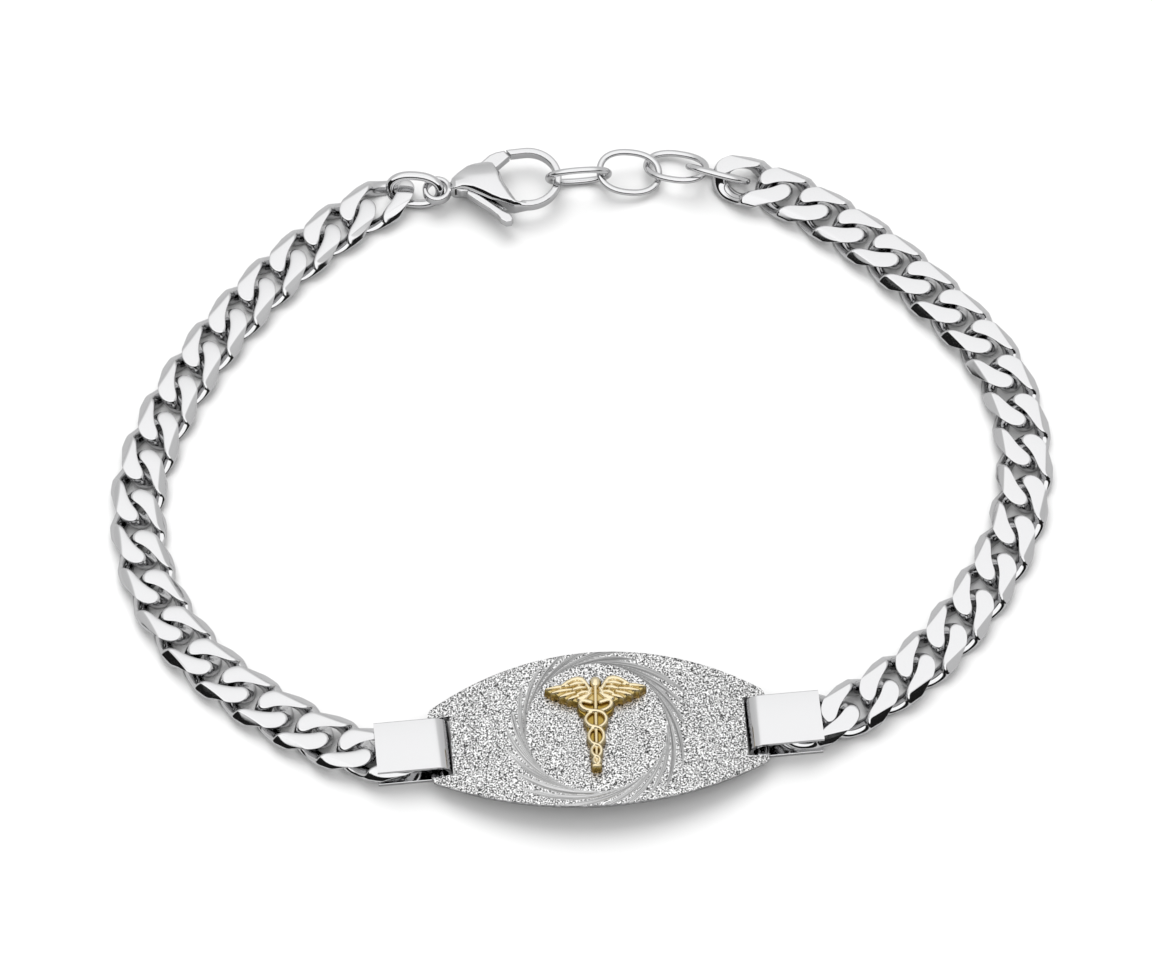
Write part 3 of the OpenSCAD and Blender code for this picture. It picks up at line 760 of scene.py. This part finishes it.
def polygon_distance(x, y, corners):
    """Signed distance to a closed polygon: the least distance to an edge, negative inside."""
    corners = np.asarray(corners, float)
    best, inside = np.full(x.shape, 1e9), np.zeros(x.shape, bool)
    for (ax, ay), (bx, by) in zip(corners, np.roll(corners, -1, 0)):
        best = np.minimum(best, to_segment(x, y, ax, ay, bx, by)[1])
        if by != ay:
            inside ^= ((ay > y) != (by > y)) & (x < ax + (bx - ax) * (y - ay) / (by - ay))
    return np.where(inside, -best, best)


def plateau(distance, height, soft):
    """A flat top whose edge rolls over within a soft width: height falls as a quarter circle."""
    share = np.clip(1 + distance / soft, 0, 1)
    return np.where(distance < 0, height - soft * (1 - circle(1, share)), -1)


def bar(x, y, line, base, rise, lift=None):
    """Rounded bar along a line of (x, y, radius): base plus rise times a half circle across it."""
    top = np.full(x.shape, -1.0)
    lift = np.zeros(len(line)) if lift is None else lift
    for (ax, ay, ar), (bx, by, br), la, lb in zip(line[:-1], line[1:], lift[:-1], lift[1:]):
        t, away = to_segment(x, y, ax, ay, bx, by)
        share = away / (ar + t * (br - ar))
        height = RELIEF * (base + rise * circle(1, share)) + la + t * (lb - la)
        top = np.maximum(top, np.where(share < 1, height, -1))
    return top


print("the emblem's half outline has", len(WING) + len(BODY_SIDE) + len(FOOT), "corners")

# %% [markdown]
# Each wing has a thick leading edge with a shoulder, a row of long feathers that fan out below it, and a
# row of short ones over their roots. The two cords cross in front of the staff at lower and lower places,
# and swing out less each time. Each passes over the other at every second crossing, and at the top each
# swings out wide and turns in again to a small head.

# %% feathers and cords
LEADING_EDGE = [
    (0.55, 3.05, 0.18), (0.8, 3.5, 0.2), (1.06, 3.82, 0.22), (1.4, 3.9, 0.22), (1.8, 3.82, 0.2),
    (2.2, 3.6, 0.19), (2.6, 3.3, 0.17),
]
LONG_FEATHERS = [
    ((2.2, 3.3), (3.1, 3.22), (3.88, 3.06)), ((1.9, 2.98), (2.75, 2.9), (3.42, 2.72)),
    ((1.65, 2.7), (2.3, 2.56), (2.8, 2.36)), ((1.35, 2.4), (1.8, 2.28), (2.15, 2.1)),
]
SHORT_FEATHERS = [
    ((1.0, 3.45), (1.5, 3.5), (2.0, 3.3)), ((0.85, 3.08), (1.3, 3.1), (1.75, 2.92)),
    ((0.7, 2.7), (1.05, 2.68), (1.4, 2.5)), ((0.34, 3.0), (0.48, 2.78), (0.6, 2.5)),
    ((0.36, 2.56), (0.66, 2.36), (0.98, 2.3)), ((0.7, 2.2), (1.05, 2.2), (1.36, 2.1)),
]
STAFF, FOOT_BAR = [(0, 3.3, 0.2), (0, -3.75, 0.16)], [(-0.26, -3.72, 0.16), (0.26, -3.72, 0.16)]
BALL = [(0, 3.5, 0.48), (0, 3.62, 0.48)]
# the cords: where they cross, how far they swing out between, their heads, and their radius from below up
CROSSINGS = [1.02, -0.4, -1.92, -2.95, -3.6]
SWINGS = [0.82, 0.6, 0.38, 0.24]
HEAD = [(1.25, 1.72), (1.1, 2.02), (0.4, 1.8)]
# the cord over the other is lifted by so much, but from HEAD_Y up both lie level
CORD_R, CORD_LIFT, HEAD_Y = [0.15, 0.18, 0.21], 0.05, 1.6


def cord_line(side, steps=14):
    """x = swing * sqrt(sin(pi * share)) between crossings, to alternate sides, with the head on top."""
    share = np.linspace(0, 1, steps, endpoint=False)
    x, y = [], []
    for k, swing in enumerate(SWINGS):
        x.append(side * (-1) ** k * swing * np.sin(np.pi * share) ** 0.5)
        y.append(CROSSINGS[k] + share * (CROSSINGS[k + 1] - CROSSINGS[k]))
    # the top end leaves the first crossing towards the other side
    rise = np.linspace(0, 1, 8)[:0:-1]
    x.insert(0, -side * np.sin(rise * np.pi / 2) * HEAD[0][0])
    y.insert(0, CROSSINGS[0] + (HEAD[0][1] - CROSSINGS[0]) * (1 - np.cos(rise * np.pi / 2)))
    x.insert(0, [-side * u for u, _ in HEAD[:0:-1]])
    y.insert(0, [v for _, v in HEAD[:0:-1]])
    x, y = np.concatenate(x), np.concatenate(y)
    radius = np.interp(y, [CROSSINGS[-1], CROSSINGS[0], 2], CORD_R)
    turns = np.interp(-y, [-v for v in CROSSINGS], range(len(CROSSINGS)))
    over = side * CORD_LIFT * np.cos(np.pi * turns)
    return rows_of(x, y, radius), np.where(y > HEAD_Y, 0, over)


print("points along a cord:", len(cord_line(1)[0]))

# %% [markdown]
# The casting is low in its body, higher in its wings, and highest where feathers, cords and ball stand out.
# All the features are laid over one another, and at each point the highest one is what is seen.

# %% the emblem's height
# radii of a feather at its root, middle and tip
LONG_R, SHORT_R = (0.16, 0.23, 0.13), (0.14, 0.24, 0.16)
# the two flat tops, then where each rounded feature starts and how far it rises, as shares of RELIEF
BODY_TOP, WING_TOP, ROLL_OVER = 0.58, 0.72, 0.12
RISES = {
    "long": (0.6, 0.28), "short": (0.66, 0.29), "edge": (0.76, 0.19), "staff": (0.66, 0.18),
    "foot": (0.66, 0.2), "ball": (0.6, 0.4), "cord": (0.72, 0.2),
}


def emblem_height(x, y):
    """Height over the plate in mm: the highest feature at each point."""
    u = np.abs(x)
    whole, wings = mirrored(WING + BODY_SIDE + FOOT), mirrored(WING)
    tops = [
        plateau(polygon_distance(x, y, whole), BODY_TOP * RELIEF, ROLL_OVER),
        plateau(polygon_distance(x, y, wings), WING_TOP * RELIEF, ROLL_OVER),
        bar(u, y, LEADING_EDGE, *RISES["edge"]),
        bar(x, y, STAFF, *RISES["staff"]),
        bar(x, y, FOOT_BAR, *RISES["foot"]),
        bar(x, y, BALL, *RISES["ball"]),
    ]
    for feathers, radii, kind in ((LONG_FEATHERS, LONG_R, "long"), (SHORT_FEATHERS, SHORT_R, "short")):
        lines = [[(*point, radius) for point, radius in zip(feather, radii)] for feather in feathers]
        tops += [bar(u, y, line, *RISES[kind]) for line in lines]
    for side in (1, -1):
        line, over = cord_line(side)
        tops.append(bar(x, y, line, *RISES["cord"], over))
    return np.maximum.reduce(tops)


print("highest point of the emblem:", emblem_height(np.zeros(1), np.full(1, 3.72)).round(2), "mm")

# %% [markdown]
# The height becomes a mesh that stands on the plate. Where nothing stands the grid is left out, the rim
# drops to the plate's arch, and a second layer of faces on the arch closes the casting from below.

# %% the emblem
EMBLEM_AT, EMBLEM_TURN = (-0.15, 0.0), math.radians(-2)
# the staff leans a little towards the left wing at its foot, in mm per mm from the wings down
STAFF_LEAN, WINGS_Y = 0.022, 3


def make_emblem(step=0.045):
    """Top and underside of the emblem as one closed mesh, in the bracelet's frame."""
    gx, gy = np.meshgrid(np.arange(-4.4, 4.4, step), np.arange(-4.5, 4.5, step), indexing="ij")
    rise = emblem_height(gx, gy)
    solid = (rise > 0).ravel()
    leaning = rows_of(gx + STAFF_LEAN * (gy - WINGS_Y), gy, 0)
    x, y, _ = turned(leaning, EMBLEM_TURN, [*EMBLEM_AT, 0]).T
    low = arch_height(x)
    high = np.where(solid, PLATE_TOP + np.clip(rise.ravel(), 0, RELIEF), low)
    quads = grid_faces(gx.shape)
    quads = quads[solid[quads].any(1)]
    # under what stands, the points of the second layer, and at the rim those of the first
    under = (np.arange(gx.size) + solid * gx.size)[quads][:, ::-1]
    used, faces = np.unique(np.vstack([quads, under]), return_inverse=True)
    layers = np.vstack([rows_of(x, y, high), rows_of(x, y, low)])
    return on_plate(layers[used]), faces.reshape(-1, 4).tolist()


emblem_points, emblem_faces = make_emblem()
print("emblem faces:", len(emblem_faces))

# %% [markdown]
# The emblem's finish is a pale gold plating. Its colour is pale gold on the tops and darker and browner
# lower down, in the recesses and on the walls, which is painted shade; the height over the plate sets it.
# A fine grain breaks the reflections as sand casting does.

# %% gold plating
CAST_MM = 0.15
# the shares of RELIEF between which the painted shade's brown turns to pale gold
BROWN_TO_PALE = (0.45, 0.88)


def gold_finish():
    """Colour from brown-gold, a painted shade low down, to pale gold by height, with a cast grain of 0.15
    mm.
    """
    material, tree, shader = new_material("pale_gold_plating", {"Metallic": 1, "Roughness": 0.22})
    place = add_node(tree, "TexCoord", out="Object")
    height = add_node(tree, "SeparateXYZ", (place,), out="Z")
    low, high = [(PLATE_TOP + share * RELIEF) * MM for share in BROWN_TO_PALE]
    share = add_node(tree, "MapRange", (height, low, high))
    colour = add_node(tree, "ValToRGB", (share,))
    stops = colour.node.color_ramp.elements
    # the brown-gold stops low down are painted shade for the recesses and walls
    stops[0].color, stops[1].color = linear("#866A24"), linear("#E0D2B0")
    stops.new(0.5).color = linear("#AE9650")
    grain = {"Vector": place, "Scale": 1 / (CAST_MM * MM), "Detail": 2}
    grain = add_node(tree, "TexNoise", grain)
    bump = add_node(tree, "Bump", {"Height": grain, "Strength": 0.2, "Distance": 0.03 * MM})
    set_inputs(shader, {"Base Color": colour, "Normal": bump})
    return material


gold = gold_finish()
name, slot = "caduceus_emblem", "gold_emblem"
emblem = make_piece(name + "_cast", emblem_points, emblem_faces, gold, [name], crease=60)
print("made", emblem.name)

# %% [markdown]
# The clasp is a casting, and its eye, neck, body and hook flow into each other. Such a shape is easiest to
# state as a field: a number at every point of space that is negative inside the metal. Each part has a
# simple field, and a soft minimum joins two of them with a fillet, as the wax model's maker does. The
# surface is where the field is zero. One vertex goes into each small cube that the surface crosses, at
# the mean of the crossings of its edges, and each crossed edge gives a face between its four cubes.

# %% a surface from a field
AXES = ((0, 1, 2), (1, 0, 2), (2, 0, 1))
# all points of an axis but the last, and all but the first
ENDS = (slice(None, -1), slice(1, None))


def soft_min(a, b, k):
    """The smaller of two fields, with a fillet of about k where they meet."""
    h = np.clip(0.5 + 0.5 * (b - a) / k, 0, 1)
    return b + (a - b) * h - k * h * (1 - h)


def soft_max(a, b, k):
    """The larger of two fields, with the edge between them rounded by about k."""
    return -soft_min(-a, -b, k)


def on_axis(axis, part):
    """An index that takes a part of one axis and all of the two others."""
    return tuple(part if k == axis else slice(None) for k in range(3))


def surface_from_field(field, low, step):
    """Points and quads where the sampled field is zero."""
    inside = field < 0
    total = np.zeros(tuple(n - 1 for n in field.shape) + (3,))
    count = np.zeros(total.shape[:3])
    lattice = np.stack(np.indices(field.shape), -1).astype(np.float32)
    edges = []
    for axis, a, b in AXES:
        here, there = [on_axis(axis, end) for end in ENDS]
        crossed = inside[here] != inside[there]
        share = np.where(crossed, field[here] / np.where(crossed, field[here] - field[there], 1), 0)
        point = lattice[here].copy()
        point[..., axis] += share
        for end_a in ENDS:
            for end_b in ENDS:
                mask = crossed[on_axis(a, end_a)][on_axis(b, end_b)]
                total += point[on_axis(a, end_a)][on_axis(b, end_b)] * mask[..., None]
                count += mask
        edges.append((crossed, inside[here]))
    active = count > 0
    number = np.full(count.shape, -1)
    number[active] = np.arange(active.sum())
    points = low + step * total[active] / count[active][:, None]
    faces = []
    for (axis, a, b), (crossed, starts_inside) in zip(AXES, edges):
        quad = []
        for da, db in ((-1, -1), (0, -1), (0, 0), (-1, 0)):
            cell = np.argwhere(crossed)
            cell[:, a] += da
            cell[:, b] += db
            quad.append(number[tuple(cell.T)])
        quad = np.stack(quad, 1)
        # seen along Y, the other two axes turn the other way round
        turn = starts_inside[crossed] != (axis == 1)
        quad[~turn] = quad[~turn][:, ::-1]
        faces.append(quad)
    return points, np.vstack(faces).tolist()


print("axes and the two others of each:", AXES)

# %% [markdown]
# The clasp's frame has the hook's middle at the origin and X from the eye to the hook. The numbers are
# the CAD model's: the outline of the body, the pillow that rounds its top, the hook's band, the eye's
# rim, the slot in which the lever turns, and the pin.

# %% the clasp's sizes
CLASP_AT = np.array([-4.594, 27.474, 1.6])
CLASP_TURN = math.radians(7.797)
CLASP_L, HOOK_RISE = 7.68, 0.15
# the pin: its middle, radius and half length
PIN, PIN_R, PIN_HALF = (-5.48, 0.12), 0.42, 0.6
# the hook's line: its radius, the angle where it starts, and where its straight end stops
HOOK_R, HOOK_START, HOOK_BACK = 2.59, -105, -2.05
# the hook's band is cut off at this radius from the pin
BAND, BAND_H, BAND_FROM_PIN = 0.58, 0.98, 4.86
EYE_R, EYE_RIM, EYE_H = 1.0, 0.44, 0.92
# half height of the wall under the body's chamfer, what is left of it at the tip, and where it grows
RIM_Z, RIM_TIP_Z, RIM_FROM, RIM_OVER = 0.92, 0.42, -0.4, 2.2
# the chamfer of 50 degrees: its slope, and what makes its field a distance again
CHAMFER_SLOPE, CHAMFER_SCALE = 1.19, 1.55
# the pillow: radii behind and in front of its crest and along the clasp, and its highest point
PILLOW_BACK, PILLOW_FRONT, PILLOW_LONG = 3.2, 12, 6.58
CREST_X, CREST_Y, TOP_Z = -0.445 * CLASP_L, -0.2, 1.45
# the neck: half its width, half its greatest height, and where and how fast its height grows
NECK_HALF, NECK_HIGH, NECK_FROM, NECK_SLOPE = 0.42, 0.95, -6.7, 0.9
# the lever's slot: half its height, its round middle, and two fans in degrees out to a reach
SLOT_HALF, SLOT_R, SLOT_FANS, SLOT_REACH = 0.49, 0.93, ((-9, 56), (-118, -37)), 4.85
BODY = [
    (-0.83, 0.075), (-0.73, 0.145), (-0.64, 0.205), (-0.56, 0.235), (-0.48, 0.246), (-0.41, 0.24),
    (-0.36, 0.21), (-0.32, 0.125), (-0.29, 0.08), (-0.27, -0.04), (-0.215, -0.17), (-0.16, -0.285),
    (-0.04, -0.33), (-0.06, -0.362), (-0.19, -0.358), (-0.325, -0.3), (-0.43, -0.25), (-0.53, -0.178),
    (-0.63, -0.108), (-0.73, -0.055), (-0.83, -0.055),
]


print("corners of the body's outline:", len(BODY))

# %% [markdown]
# Three simple fields serve the clasp: a bar with rounded corners, which the neck, the eye and the hook are
# made of, the distance to the hook's bent line, and a fan round the pin, which is what a lever sweeps.

# %% bars, the hook's line and fans


def rounded_bar(across, up, half_w, half_h, corner):
    """Field of a bar from the distances across and up it: a rectangle with rounded corners."""
    qx = np.abs(across) - half_w + corner
    qz = np.abs(up) - half_h + corner
    return np.hypot(np.maximum(qx, 0), np.maximum(qz, 0)) + np.minimum(np.maximum(qx, qz), 0) - corner


def from_pin(x, y):
    """Distance from the pin's middle."""
    return np.hypot(x - PIN[0], y - PIN[1])


def hook_line_distance(x, y):
    """Distance to the hook's middle line: an arc from HOOK_START to 90 degrees, then straight back."""
    angle = np.degrees(np.arctan2(y, x))
    ring = np.abs(np.hypot(x, y) - HOOK_R)
    start = np.radians(HOOK_START)
    near_start = np.hypot(x - HOOK_R * np.cos(start), y - HOOK_R * np.sin(start))
    straight = np.hypot(np.clip(HOOK_BACK - x, 0, None) + np.clip(x, 0, None), y - HOOK_R)
    on_arc = (angle > HOOK_START) & (angle <= 90)
    return np.minimum(np.where(on_arc, ring, near_start), straight)


def sector(x, y, low_angle, high_angle, reach):
    """Field of a fan round the pin between two angles, out to a reach."""
    angle, r = np.arctan2(y - PIN[1], x - PIN[0]), from_pin(x, y)
    middle, half = np.radians((low_angle + high_angle) / 2), np.radians((high_angle - low_angle) / 2)
    away = np.abs((angle - middle + np.pi) % (2 * np.pi) - np.pi) - half
    wedge = np.where(away < np.pi / 2, r * np.sin(np.clip(away, -np.pi / 2, np.pi / 2)), r)
    return np.maximum(wedge, r - reach)


print("from the pin to the hook's middle:", from_pin(0, 0).round(2), "mm")

# %% [markdown]
# The body swells like a pillow, flatter along the clasp than across it, with a polished chamfer round it.
# The neck grows out of it to the eye, and the hook's band grows out of its front. The slot is taken away
# before the hook is joined, so the hook stays whole, and the pin is put in last.

# %% the clasp's fields


def pillow_field(x, y, z):
    """The body: its outline, a pillow on both faces, and a chamfer down to a wall."""
    flat = polygon_distance(x[..., :1], y[..., :1], [(u * CLASP_L, v * CLASP_L) for u, v in BODY])
    round_y = np.where(y < CREST_Y, PILLOW_FRONT, PILLOW_BACK)
    crown_a = circle(round_y, y - CREST_Y) + TOP_Z - round_y
    crown_b = circle(PILLOW_LONG, x - CREST_X) + TOP_Z - PILLOW_LONG
    rim_z = RIM_TIP_Z + (RIM_Z - RIM_TIP_Z) * np.clip((RIM_FROM - x) / RIM_OVER, 0, 1)
    chamfer = (np.abs(z) - rim_z + CHAMFER_SLOPE * flat) / CHAMFER_SCALE
    body = soft_max(np.abs(z) - soft_min(crown_a, crown_b, 0.5), chamfer, 0.08)
    return soft_max(body, flat + 0 * z, 0.12)


def clasp_body_field(x, y, z):
    """Body, neck, eye and hook joined softly, less the lever's slot, plus the pin."""
    pin_r, rise = from_pin(x, y), z - HOOK_RISE
    high = np.clip(NECK_HALF + NECK_SLOPE * (x - NECK_FROM), NECK_HALF, NECK_HIGH)
    neck = rounded_bar(y, z, NECK_HALF, high, 0.3)
    neck = np.maximum(neck, np.maximum(x - (PIN[0] + 0.4), EYE_R - CLASP_L - x))
    body = soft_min(pillow_field(x, y, z), neck, 0.25)
    rho = np.hypot(x + CLASP_L, y)
    eye = rounded_bar(rho - EYE_R, z, EYE_RIM / 2, EYE_H / 2, 0.18)
    body = soft_min(np.maximum(body, EYE_R - rho), eye, 0.12)
    hook = rounded_bar(hook_line_distance(x, y), rise, BAND / 2, BAND_H / 2, 0.16)
    hook = np.maximum(hook, BAND_FROM_PIN - pin_r)
    fans = np.minimum(*[sector(x, y, low, high, SLOT_REACH) for low, high in SLOT_FANS])
    slot = np.maximum(np.minimum(fans, pin_r - SLOT_R), np.abs(rise) - SLOT_HALF)
    body = soft_min(np.maximum(body, -slot), hook, 0.15)
    return np.minimum(body, np.maximum(pin_r - PIN_R, np.abs(rise) - PIN_HALF))


print("field in the pin's middle:", clasp_body_field(*np.reshape([*PIN, HOOK_RISE], (3, 1))).round(2))

# %% [markdown]
# The body, the neck, the eye and the hook are one casting, polished all over, so they are one surface. The
# field is sampled every 0.06 mm, which is fine enough for the chamfer's edge to stay crisp.

# %% the clasp's body


def clasp_piece(name, field_of, low, high, step, node, body):
    """Samples a field on a lattice of cubes, and sets its surface in the clasp's place."""
    axes = [np.arange(a, b + step, step) for a, b in zip(low, high)]
    field = field_of(*np.meshgrid(*axes, indexing="ij"))
    points, faces = surface_from_field(field, np.array(low), step)
    points = turned(points, CLASP_TURN, CLASP_AT)
    return make_piece(name, points, faces, steel, [node], body=body, crease=50)


low, high = (-9.1, -3.1, -1.55), (3.1, 3.1, 1.55)
clasp = clasp_piece("clasp_body_cast", clasp_body_field, low, high, 0.06, "clasp_body", "bracelet")
print("clasp body faces:", len(clasp.data.polygons))

# %% [markdown]
# The lever is a flat stamping that turns on the pin in the body's slot. Its gate closes the hook's mouth,
# and its other end is the thumb's. Both outlines are given as they are seen from the pin, by a share of
# the reach and an angle, because that is how they sweep when the lever turns.

# %% the clasp's lever
# radii of the hub and the bore, half the thickness, and how far the gate and the thumb's end reach
HUB_R, BORE_R, LEVER_HALF, GATE_REACH, THUMB_REACH = 0.83, 0.47, 0.45, 4.75, 5.6
GATE = [
    (0.1, 35), (0.24, 21), (0.5, 20.5), (0.7, 21), (1, 26), (1, 35), (0.87, 40), (0.75, 43.5),
    (0.6, 45), (0.3, 52),
]
THUMB = [
    (0.1, -61), (0.2, -79), (0.42, -61), (0.6, -55.5), (0.76, -54.5), (0.86, -55.5), (0.95, -54),
    (1, -50), (0.98, -46.5), (0.9, -44.5), (0.78, -46), (0.6, -46), (0.2, -44),
]


def fan_points(table, reach):
    """Corners from shares of a reach and angles seen from the pin."""
    share, angle = np.array(table).T
    angle = np.radians(angle)
    return np.stack([PIN[0] + share * reach * np.cos(angle), PIN[1] + share * reach * np.sin(angle)], 1)


def clasp_lever_field(x, y, z):
    """Hub, gate and thumb lever of one thickness with rounded edges, less the bore."""
    fx, fy = x[..., :1], y[..., :1]
    flat = from_pin(fx, fy) - HUB_R
    for table, reach in ((GATE, GATE_REACH), (THUMB, THUMB_REACH)):
        flat = soft_min(flat, polygon_distance(fx, fy, fan_points(table, reach)), 0.1)
    lever = soft_max(flat + 0 * z, np.abs(z - HOOK_RISE) - LEVER_HALF, 0.16)
    return np.maximum(lever, BORE_R - from_pin(x, y))


low, high = (-6.6, -4.9, -0.4), (-0.2, 3.9, 0.7)
lever = clasp_piece("clasp_lever_cast", clasp_lever_field, low, high, 0.05, "clasp_lever", "lever")
print("lever faces:", len(lever.data.polygons))

# %% [markdown]
# The floor is a plain pale sheet of matt paper. It is lit from high at the back, so the bracelet's soft
# shadows fall towards the camera, and it is lit well enough to be white. Steel over a white sheet would
# be white from below too, where a product photograph keeps it grey, so the paper is darker to reflections.

# %% the floor and its light
FLOOR_HALF = 2.0
# strength, and in degrees its width, its tip from straight above and its turn
KEY_STRENGTH, KEY_WIDTH, KEY_TIP, KEY_TURN = 2.6, 50, -34, 10


def make_floor():
    """A large pale matt sheet at the bracelet's lowest point."""
    h = FLOOR_HALF
    mesh = bpy.data.meshes.new("floor")
    mesh.from_pydata([(-h, -h, 0), (h, -h, 0), (h, h, 0), (-h, h, 0)], [], [(0, 1, 2, 3)])
    material, tree, shader = new_material("pale_paper_sweep", {"Roughness": 0.9})
    mirrored_ray = add_node(tree, "LightPath", out="Is Glossy Ray")
    tones = {0: mirrored_ray, 6: linear("#D2D2D2"), 7: linear("#B0B0B0")}
    set_inputs(shader, {"Base Color": add_node(tree, "Mix", tones, out=2, data_type="RGBA")})
    mesh.materials.append(material)
    floor = add_object("floor", mesh)
    return floor


def make_key():
    """A soft sun from high at the back; the polished steel doesn't mirror it."""
    data = bpy.data.lights.new("key", "SUN")
    data.energy = KEY_STRENGTH
    data.angle = math.radians(KEY_WIDTH)
    key = add_object("key", data)
    key.rotation_euler = (math.radians(KEY_TIP), 0, math.radians(KEY_TURN))
    key.visible_glossy = False
    return key


make_floor()
print("key light:", make_key().data.energy)

# %% [markdown]
# Polished metal shows the room around it. The room is a white tent: its roof is bright, and its walls are
# grey at the sides and the back. On the front side a bright sheet hangs from the roof and ends above the
# floor, and the dark opening under it gives the black lines along the edges. The tent is the world's own
# light, worked out from the direction alone.

# %% the tent
# brightness by the height of the direction, from level to straight up
TENT = [(0.0, 0.72), (0.3, 0.76), (0.55, 0.82), (0.7, 0.92), (0.8, 1.28), (0.9, 1.42), (1.0, 1.4)]
# the soft edges of the opening, at its top and to its sides
OPENING_TOP, OPENING_SIDE = (0.44, 0.48), (-0.28, -0.22)
# straight away from the opening, which is at the front and a little to the left
OPENING_FACES = (0.2, 0.98, 0)
FRONT_SHEET, OPENING_LIGHT = 1.5, 0.01


def make_tent():
    """Brightness by the height of the direction from a table, a bright front, and the opening under it."""
    world = bpy.data.worlds.new("white_tent")
    bpy.context.scene.world = world
    world.use_nodes = True
    tree = world.node_tree
    look = add_node(tree, "TexCoord", out="Generated")
    height = add_node(tree, "SeparateXYZ", (look,), out="Z")
    curve = add_node(tree, "FloatCurve", {"Value": height})
    mapping = curve.node.mapping
    points = mapping.curves[0].points
    brightest = max(value for _, value in TENT)
    for _ in range(len(TENT) - 2):
        points.new(0.5, 0.5)
    for point, (level, value) in zip(points, TENT):
        point.location = (level, value / brightest)
    mapping.update()
    facing = add_node(tree, "VectorMath", (look, OPENING_FACES), "Value", operation="DOT_PRODUCT")
    # both are 1 where the opening is, and 0 elsewhere
    low, front = [
        add_node(tree, "MapRange", (*row, 1, 0), interpolation_type="SMOOTHSTEP")
        for row in ((height, *OPENING_TOP), (facing, *OPENING_SIDE))
    ]
    opening = add_node(tree, "Math", (low, front), operation="MULTIPLY")
    walls = {0: front, 2: curve, 3: FRONT_SHEET / brightest}
    walls = add_node(tree, "Mix", walls, data_type="FLOAT")
    light = {0: opening, 2: walls, 3: OPENING_LIGHT}
    light = add_node(tree, "Mix", light, data_type="FLOAT")
    colour = add_node(tree, "CombineColor", (light, light, light))
    set_inputs(tree.nodes["Background"], {"Color": colour, "Strength": brightest})
    return world


make_tent()
bpy.context.scene.view_settings.view_transform = "Standard"
print("tent made, brightest", max(value for _, value in TENT))
